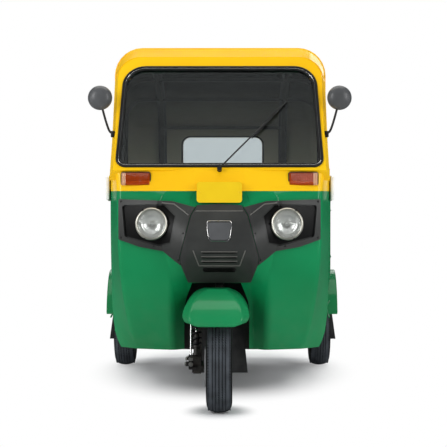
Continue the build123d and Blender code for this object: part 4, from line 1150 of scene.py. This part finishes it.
def coil(x, low, high, radius, wire, turns, start=0.18, end=0.97, perTurn=14):
    last = int(turns * perTurn)
    path = [strutPoint(x, low, high, start + (end - start) * k / last, radius, 2 * math.pi * k / perTurn)
            for k in range(last + 1)]
    return tube(path, wire, 8)


def rod(x, low, high, start, end, radius, steps=20):
    return tube([strutPoint(x, low, high, start), strutPoint(x, low, high, end)], radius, steps)


low, high = strut["low"], strut["high"]
frontSpring = coil(strut["x"], low, high, strut["coil"] - 6, strut["wire"], strut["turns"])
piece("frontCoil", [frontSpring], springSteel, "steering", replaces=("front_shock",), angle=180)
piece("frontDamper", [rod(strut["x"], low, high, 0.0, 0.46, 13), rod(strut["x"], low, high, 0.16, 0.2, 18.5),
                      rod(strut["x"], low, high, 0.95, 1.0, 18.5), rod(strut["x"], low, high, 0.0, 0.05, 17)],
      chassisBlack, "steering")
piece("frontRod", [rod(strut["x"], low, high, 0.46, 1.0, 6.5), rod(-128, (-44, 262), (2, 410), 0, 1, 4.2)],
      chromePlate, "steering")
bracket = [
    block((-116, -18, 252), (34, 70, 16), 3), block((-134, -20, 232), (9, 58, 62), 3),
    block((-118, -24, 204), (40, 44, 12), 3), block((-128, 30, 226), (22, 40, 44), 5),
    tube([(-150, -22, 222), (-80, -22, 222)], 11, 16), tube([(-142, 8, 246), (-84, 8, 246)], 8, 16),
    tube([(-146, -34, 246), (-96, -34, 246)], 6.5, 12),
]
piece("frontBracket", bracket, brakeIron, "steering")
boltSpots = [(-151, -22, 222, (-1, 0, 0), (0, 1, 0)), (-143, 8, 246, (-1, 0, 0), (0, 1, 0)),
             (-147, -34, 246, (-1, 0, 0), (0, 1, 0)), (-128, -50, 246, (0, -1, 0), (1, 0, 0)),
             (-112, -54, 246, (0, -1, 0), (1, 0, 0)), (-128, -50, 222, (0, -1, 0), (1, 0, 0))]
repeated("frontBracketBolts", hexBolt, boltSpots, zincPlate, "steering")
# rods: where each starts and ends along the strut, as shares of its length, and its radius
rearStrut = {
    "x": 441.5, "foot": (1940, 246), "head": (1940, 608),
    "springFoot": (1940, 262), "springHead": (1940, 600),
    "rods": ((0.0, 0.5, 18), (0.5, 1.0, 8), (0.95, 1.0, 30), (0.14, 0.18, 30)),
}
for side, word in ((-1, "Right"), (1, "Left")):
    x = side * rearStrut["x"]
    spring = coil(x, rearStrut["springFoot"], rearStrut["springHead"], 26, 5.5, 7, 0.2, 0.98)
    piece("rearCoil" + word, [spring], springSteel, angle=180)
    rods = [rod(x, rearStrut["foot"], rearStrut["head"], *share) for share in rearStrut["rods"]]
    piece("rearDamper" + word, rods, chassisBlack,
          replaces=("rear_shocks",) if side > 0 else ())
print("suspension dressed")

# cushions: a block is remeshed, blown up as cloth, held back to a few millimetres, then stitched and piped
cushionFacts = {
    "driverSeat": {"centre": (0, 820, 637), "size": (500, 340, 72), "node": "driver_seat", "face": 2,
                   "channels": (-165, -55, 55, 165), "cap": 12, "voxel": 6},
    "driverBackrest": {"centre": (0, 990, 830), "size": (416, 46, 206), "node": "driver_backrest",
                       "face": 1, "channels": (-120, -40, 40, 120), "cap": 10, "voxel": 6},
    "passengerSeat": {"centre": (0, 1930, 668), "size": (974, 412, 94), "node": "passenger_seat", "face": 2,
                      "channels": (-360, -216, -72, 72, 216, 360), "cap": 16, "voxel": 7},
    "passengerBackrest": {"centre": (0, 2200, 845), "size": (950, 72, 436), "node": "passenger_backrest",
                          "face": 1, "channels": (-360, -216, -72, 72, 216, 360), "cap": 14, "voxel": 7},
}


def pointsOf(obj):
    return np.array([v.co[:] for v in obj.data.vertices])


def movePoints(obj, points):
    obj.data.vertices.foreach_set("co", points.ravel())
    obj.data.update()


def blownUp(obj, facts):
    remesh = obj.modifiers.new("remesh", "REMESH")
    remesh.mode = "VOXEL"
    remesh.voxel_size = facts["voxel"] / 1000
    settled(obj)
    start = pointsOf(obj)
    depth = start[:, 2] if facts["face"] == 2 else -start[:, 1]
    held = [int(i) for i in np.nonzero(depth < depth.min() + 0.004)[0]]
    obj.vertex_groups.new(name="seated").add(held, 1.0, "REPLACE")
    cloth = obj.modifiers.new("cloth", "CLOTH")
    cloth.settings.use_pressure = True
    cloth.settings.uniform_pressure_force = 4.0
    cloth.settings.effector_weights.gravity = 0.0
    cloth.settings.vertex_group_mass = "seated"
    cloth.collision_settings.use_collision = False
    for step in range(1, 21):
        bpy.context.scene.frame_set(step)
    settled(obj)
    bpy.context.scene.frame_set(1)
    obj.vertex_groups.clear()
    moved = pointsOf(obj) - start
    length = np.linalg.norm(moved, axis=1)
    cap = facts["cap"] / 1000
    shrink = np.where(length > cap, cap / np.maximum(length, 1e-9), 1.0)
    movePoints(obj, start + moved * shrink[:, None])
    smooth = obj.modifiers.new("fine", "SUBSURF")
    smooth.levels = smooth.render_levels = 1
    settled(obj)


def stitched(obj, facts):
    # sewn channels pull the cover in by six millimetres, with small puckers along each
    points = pointsOf(obj)
    middle = place(*facts["centre"])
    half = np.array(facts["size"]) / 2000
    axis = facts["face"]
    out = np.zeros(3)
    out[axis] = 1.0 if axis == 2 else -1.0
    share = (points - middle) @ out / half[axis]
    front = np.clip((share - 0.2) / 0.5, 0, 1)
    along = points[:, 1] if axis == 2 else points[:, 2]
    dip = np.zeros(len(points))
    for x in facts["channels"]:
        dip += 6.0 * np.exp(-(((points[:, 0] * 1000 - x) / 5.0) ** 2))
        dip += 0.9 * np.exp(-(((points[:, 0] * 1000 - x) / 16.0) ** 2)) * np.sin(along * 1000 / 3.2)
    points -= out * (dip * front / 1000)[:, None]
    movePoints(obj, points)


def piping(facts):
    # a cord sewn into the seam round the seated face's opposite edge
    x, station, z = facts["centre"]
    wide, deep, high = (v / 2 for v in facts["size"])
    swell = facts["cap"] * 0.55
    if facts["face"] == 2:
        ring = roundedOutline(wide + swell, deep + swell, 34, 6)
        return [tube([(x + a, station + b, z + high - 14) for a, b in ring], 3.6, 8, closed=True)]
    ring = roundedOutline(wide + swell * 0.4, high + swell * 0.4, 30, 6)
    return [tube([(x + a, station - deep + 9, z + b) for a, b in ring], 3.6, 8, closed=True)]


for word, facts in cushionFacts.items():
    cushion = piece(word, [block(facts["centre"], facts["size"], 20, 4)], benchVinyl,
                    replaces=(facts["node"],), angle=180)
    blownUp(cushion, facts)
    stitched(cushion, facts)
    shadeByAngle(cushion.data, 180)
    piece(word + "Piping", piping(facts), pipingVinyl, angle=180)
print("cushions stuffed")

# mirrors on curved stalks clamped to the pillars
mirrorBack = [(0, -27), (16, -26), (33, -22), (46, -14), (54, -4), (57, 4), (56.5, 9), (53, 10.5), (50, 9),
              (0, 8)]
mirrorFace = [(0, 10.2), (25, 10.0), (42, 9.6), (49.6, 9.0), (49.6, 7.5), (0, 7.5)]
mirror = {"x": 557, "station": 205, "z": 1437}
heads, faces, stalks = [], [], []
for side in (-1, 1):
    centre = (side * mirror["x"], mirror["station"], mirror["z"])
    heads.append(turned(mirrorBack, centre, steps=48))
    faces.append(turned(mirrorFace, centre, steps=48))
    stalks.append(tube([(side * x, 208, z) for x, z in ((498, 1270), (514, 1284), (528, 1322), (540, 1364),
                                                         (549, 1400), (553, 1418))], 5.2, 12, smooth=6))
    stalks.append(turned([(0, -9), (7, -7), (10, 0), (7, 7), (0, 9)], (side * 550, 206, 1402), steps=16))
    stalks.append(block((side * 497, 211, 1268), (20, 26, 30), 4))
# the heads take the grey moulding, lighter than the black stalks: partly their own dark grey, partly a
# painted highlight on their domed backs
piece("mirrorHeads", heads, greyMoulding, replaces=("mirrors",), angle=40)
piece("mirrorFaces", faces, mirrorSilver, angle=50)
piece("mirrorStalks", stalks, chassisBlack, angle=50)

# handlebar: ribbed grips, levers and switch boxes
bar = {"station": 385.87, "z": 1034.5, "grip": (212, 326)}
ringItem = turnedItem([(16.2, -1.4), (17.6, -0.8), (17.6, 0.8), (16.2, 1.4)], 20)
spots = [(side * x, bar["station"], bar["z"], (side, 0, 0), (0, 1, 0))
         for side in (-1, 1) for x in np.linspace(*bar["grip"], 21)]
repeated("gripRings", ringItem, spots, sealRubber, "steering", angle=60)
levers, boxes = [], []
for side in (-1, 1):
    levers.append(tube([(side * x, s, z) for x, s, z in ((186, 372, 1040), (206, 356, 1038), (240, 350, 1034),
                                                         (278, 352, 1030), (298, 356, 1028))],
                       [7, 6, 5, 5, 7], 10, flat=0.6))
    boxes.append(block((side * 184, 384, 1036), (34, 42, 40), 6, 3))
    boxes.append(block((side * 196, 404, 1048), (10, 12, 8), 2))
piece("brakeLevers", levers, zincPlate, "steering", angle=60)
piece("switchBoxes", boxes, blackMoulding, "steering")

# dashboard: speedometer with its dial, key switch and buttons on the driver's side
dial = {"station": 215, "z": 966}
dialCentre = (0, dial["station"], dial["z"])
bezelProfile = [(30, 0), (30, 5), (33, 8), (37, 6), (38, 0)]
discProfile = [(0, 3.4), (30.4, 3.4), (30.4, 0), (0, 0)]
piece("dialBezel", [turned(bezelProfile, dialCentre, steps=40)], chromePlate, angle=50)
piece("dialFace", [turned(discProfile, dialCentre, steps=40)], blackAndPaintedShade)
ticks = []
for k in range(13):
    turn = math.radians(225 - 22.5 * k)
    ticks.append((24 * math.cos(turn), dial["station"] + 3.3, dial["z"] + 24 * math.sin(turn), (0, 1, 0),
                  (math.cos(turn), 0, math.sin(turn))))
tickItem = boxItem((0, 0, 0), (7, 1.6, 1.0))
repeated("dialTicks", tickItem, ticks, plateWhite)
piece("dialNeedle", [tube([(6, 220, 960), (-15, 220, 983)], [1.6, 0.6], 6)], amberLens)
knobProfile = [(0, 8), (9, 8), (11, 5), (11, 0), (0, 0)]
controls = [turned(knobProfile, (x, dial["station"], 962), steps=20) for x in (-92, 92, 128, 164)]
piece("dashControls", controls, blackMoulding)


# canopy trims: beading along the steel visor, bound edges, buttons at the belt, stitching, window welt
def archPath(station, out, foot, count=8):
    half, top, radius = (float(v) for v in roofAt(station))
    half, top, radius = half + out, top + out, radius + out
    points = [(-half, station, z) for z in np.linspace(foot, top - radius, 12)]
    points += [(-half + radius - radius * math.cos(a), station, top - radius + radius * math.sin(a))
               for a in np.linspace(0, math.pi / 2, count)[1:]]
    return points + [(-x, s, z) for x, s, z in points[::-1]]


piece("visorBeading", [tube(archPath(503, 0.5, 1442), 5.0, 10, flat=0.7)], yellowCanvas,
      angle=180)
bindings = []
for side in (-1, 1):
    edge = [(side * halfAt(s), s, canopySheet["valance"]) for s in np.linspace(504, 1560, 40)]
    edge += [(side * halfAt(1590), 1590, z) for z in np.linspace(1415, beltHeight + 4, 10)]
    bindings.append(tube(edge, 5.5, 10, flat=0.75))
    rear = [(side * halfAt(s), s, beltHeight + 7) for s in np.linspace(1592, 2290, 30)]
    bindings.append(tube(rear, 4.5, 10, flat=0.75))
piece("canopyBindings", bindings, yellowCanvas, angle=180)
spots = [(side * (halfAt(s) + 0.5), s, beltHeight + 26, (side, 0, 0), (0, 1, 0))
         for side in (-1, 1) for s in np.linspace(1640, 2260, 6)]
buttonItem = turnedItem([(0, 5), (4, 5), (7, 3.4), (8.5, 0), (8.5, -1), (0, -1)], 16)
repeated("canopyButtons", buttonItem, spots, zincPlate)
stitchItem = boxItem((0, 0, 0), (6.5, 1.3, 0.9))
seam = {"first": 520, "last": 1850, "step": 10.0, "halfGap": 7, "rowPitch": 19.8}
spots = []
for side in (-1, 1):
    for shift in (-seam["halfGap"], seam["halfGap"]):
        for station in np.arange(seam["first"], seam["last"], seam["step"]):
            x = side * canopySheet["ribX"] + shift
            hit = rayHits(np.array((x, station, 1150.0)), np.array([[0.0, 0.0, 1.0]]))[0]
            bay = canopyGrid[min(int((station - canopySheet["front"]) / seam["rowPitch"]), rowCount - 1)]
            near = bay[np.argmin(np.abs(bay[:, 0] - x) + (bay[:, 2] < 1400) * 1e4)]
            spots.append((x, station, min(hit[2], near[2] + 3.5) + 0.2, (0, 0, 1), (0, 1, 0)))
repeated("canopyStitches", stitchItem, spots, stitchThread)
welt = []
for x, z in windowOutline(8, 7, 5):
    hit, out = reach("canopy", (x, 3000, z), (0, -1, 0))
    welt.append(hit + out * 0.5)
piece("windowWelt", [tube(welt, 6.0, 10, closed=True, flat=0.8)], sealRubber,
      angle=180)
visor = {"stations": (352, 500), "half": (492, 505), "top": (1639, 1692), "corner": (115, 130), "inset": 9,
         "foot": 1452}
lining = []
for station in np.linspace(372, 497, 5):
    half, top, radius = (float(np.interp(station, visor["stations"], visor[size])) - visor["inset"]
                         for size in ("half", "top", "corner"))
    row = [(-half, station, z) for z in np.linspace(visor["foot"], top - radius, 4)]
    row += [(-half + radius - radius * math.cos(a), station, top - radius + radius * math.sin(a))
            for a in np.linspace(0, math.pi / 2, 8)[1:]]
    lining.append(row + [(-x, s, z) for x, s, z in row[::-1]])
piece("visorLining", [skin(np.array(lining))], darkLining, angle=60)
spine = [(504, 1680), (1050, 1694), (1750, 1640), (2095, 1551), (2180, 1495), (2262, 1421), (2300, 1340),
         (2332, 1200), (2350, 1092)]
straps = [tube([(side * canopySheet["ribX"], s, z) for s, z in spine], 25, 16, smooth=5, flat=0.1)
          for side in (-1, 1)]
piece("canopyStraps", straps, strapWebbing, angle=180)
print("cab and canopy trimmed")


# body sides and rear: lamps beside the scuttle, arch beads, fuel cap, door louvres, lamps, bumper, exhaust
def tubHalf(station):
    return float(np.interp(station, (361, 1050, 1600, 2000, 2365), (522, 548, 604, 624, 596)))


sideLamp = {"x": 532, "station": 348, "z": 1016, "deep": 34, "high": 112, "rim": 4}
sideLamps, sideBases = [], []
for side in (-1, 1):
    x, station, z = side * sideLamp["x"], sideLamp["station"], sideLamp["z"]
    deep, high, rim = sideLamp["deep"], sideLamp["high"], sideLamp["rim"]
    sideLamps.append(block((x, station, z), (18, deep, high), 5, 3))
    sideBases.append(block((x - side * 6, station + 4, z), (9, deep + 2 * rim, high + 2 * rim), 3))
piece("sideLamps", sideLamps, plateWhite)
piece("sideLampBases", sideBases, trimSatin)
arch = {"x": 648, "station": 2000, "z": 252, "radius": 300, "foot": 315, "beads": (297, 258)}
beads = []
first = math.asin((arch["foot"] - arch["z"]) / arch["radius"])
turns = np.linspace(first + 0.03, math.pi - first - 0.03, 49)
for side in (-1, 1):
    for radius in arch["beads"]:
        line = [(side * arch["x"], arch["station"] + radius * math.cos(t), arch["z"] + radius * math.sin(t))
                for t in turns]
        beads.append(tube(line, 3.6, 8))
piece("archBeads", beads, greenEnamel, angle=180)
sillZ, beadHeights = 403, (640, 900)
sills = []
for side in (-1, 1):
    sill = [(side * (tubHalf(s) - 2), s, sillZ) for s in np.linspace(366, 1490, 24)]
    sills.append(tube(sill, 4.5, 8, flat=0.8))
    for z in beadHeights:
        line = [(side * (tubHalf(s) + 1), s, z) for s in np.linspace(1620, 2290, 20)]
        sills.append(tube(line, 4.0, 8, flat=0.6))
piece("pressedBeads", sills, greenEnamel, angle=180)
filler = {"x": -(tubHalf(1800) - 2), "station": 1800, "z": 985}
capProfile = [(0, -14), (24, -13), (30, -10), (32, 0), (38, 0), (40, 3), (0, 3)]
cap = turned(capProfile, tuple(filler.values()), axis=(1, 0, 0), steps=36)
capGrip = block((filler["x"] - 15, filler["station"], filler["z"]), (8, 40, 9), 3)
piece("fuelCap", [cap, capGrip], chromePlate)
louvreItem = aboutOrigin([tube([(-85, 0, 0), (-78, 0, 6), (78, 0, 6), (85, 0, 0)], [2, 7, 7, 2], 10,
                               flat=0.8)])
doorFace = 2366  # station of the engine door's outer skin
doorLock = {"z": 462, "station": 2365}
spots = [(x, doorFace, z, (0, 1, 0), (1, 0, 0)) for x in (-200, 0, 200) for z in range(520, 800, 35)]
repeated("doorLouvres", louvreItem, spots, greenEnamel, "engine_door", angle=60)
# painted shade: a near-black strip under each louvre stands for the shade in its opening
slotShadeItem = boxItem((0, -8, 0.6), (150, 5, 1.2))
repeated("doorLouvreSlots", slotShadeItem, spots, blackAndPaintedShade, "engine_door")
lockBarrel = turned([(0, 12), (9, 12), (12, 9), (13, 0)], (0, doorLock["station"], doorLock["z"]), steps=24)
lockGrip = block((0, doorLock["station"] + 15, doorLock["z"]), (6, 8, 26), 2)
piece("doorLock", [lockBarrel, lockGrip], chromePlate, "engine_door")
tail = {"x": 505, "z": 640, "half": 31, "back": 2350, "base": 2361, "face": 2386, "fluteMm": 6}
tailParts = {"tailAmber": (690, 48, amberLens, "amber_lens"), "tailRed": (635, 58, redLens, "red_lens"),
             "tailWhite": (585, 38, clearLens, "clear_lens")}


def tailFace(x, z, middle, high):
    inset = min(tail["half"] - abs(abs(x) - tail["x"]), high / 2 - abs(z - middle))
    flute = 0.8 * math.cos(x * 2 * math.pi / tail["fluteMm"])
    return tail["face"] - flute - 5 * max(0.0, 1 - inset / 6) ** 2


for word, (middle, high, material, slot) in tailParts.items():
    parts = []
    for side in (-1, 1):
        zs = np.linspace(middle - high / 2, middle + high / 2, 13)
        xs = np.linspace(side * tail["x"] - tail["half"], side * tail["x"] + tail["half"], 25)
        parts.append(fieldBlock(xs, zs, lambda x, z: tail["back"], lambda x, z: tailFace(x, z, middle, high)))
    piece(word, parts, material, replaces=("tail_lamps",) if word == "tailRed" else (), angle=50)
tailBases = [block((side * tail["x"], tail["base"], tail["z"]), (72, 22, 158), 6) for side in (-1, 1)]
piece("tailBases", tailBases, blackMoulding)
bumper = {"half": 426, "face": 2395.2, "z": 365, "ribs": (344, 386), "bolts": (-390, -250, 250, 390)}
spots = [(x, bumper["face"], bumper["z"], (0, 1, 0), (1, 0, 0)) for x in bumper["bolts"]]
repeated("bumperBolts", hexBolt, spots, zincPlate)
bumperRibs = [tube([(-bumper["half"], 2396, z), (bumper["half"], 2396, z)], 4, 8, flat=0.6)
              for z in bumper["ribs"]]
piece("bumperRibs", bumperRibs, chassisBlack, angle=180)
silencer = [(0, -185), (30, -185), (40, -178), (42, -170), (42, 170), (40, 178), (30, 185), (0, 185)]
exhaust = [
    turned(silencer, (0, 2245, 205), (1, 0, 0), 40),
    tube([(120, 2245, 178), (150, 2270, 165), (170, 2330, 160), (172, 2385, 160)], 14, 16, smooth=6),
    tube([(-150, 2240, 215), (-190, 2180, 240), (-190, 2100, 260), (-140, 2040, 270)], 13, 16, smooth=6),
    block((-120, 2245, 232), (24, 86, 40), 3), block((120, 2245, 232), (24, 86, 40), 3),
]
piece("silencer", exhaust, exhaustIron, angle=50)
finItem = boxItem((0, 0, 5), (300, 3.2, 16), 0.8)
spots = [(side * 150, 2020, z, (side, 0, 0), (0, 1, 0)) for side in (-1, 1) for z in range(215, 470, 14)]
repeated("engineFins", finItem, spots, engineAlloy)
matItem = boxItem((0, 0, 1), (560, 7, 3), 1)
floorTop = 300.4
for word, station, bare in (("floorMat", 640, 40), ("rearFloorMat", 1370, -1)):
    spots = [(x, station, floorTop, (0, 0, 1), (0, 1, 0)) for x in range(-400, 401, 20) if abs(x) > bare]
    repeated(word, matItem, spots, flapRubber)
railPath = [(-380, 1034, 955), (-380, 1044, 1000), (-360, 1046, 1022), (0, 1046, 1026), (360, 1046, 1022),
            (380, 1044, 1000), (380, 1034, 955)]
piece("grabRail", [tube(railPath, 10, 16, smooth=5)], chromePlate, angle=180)
ribSpots = [(side * 590, 2262, z, (0, 1, 0), (1, 0, 0)) for side in (-1, 1) for z in (160, 185, 210, 235)]
flapRibItem = boxItem((0, 0, 0.5), (110, 4, 3), 1)
repeated("flapRibs", flapRibItem, ribSpots, flapRubber)
print("body sides and rear dressed")
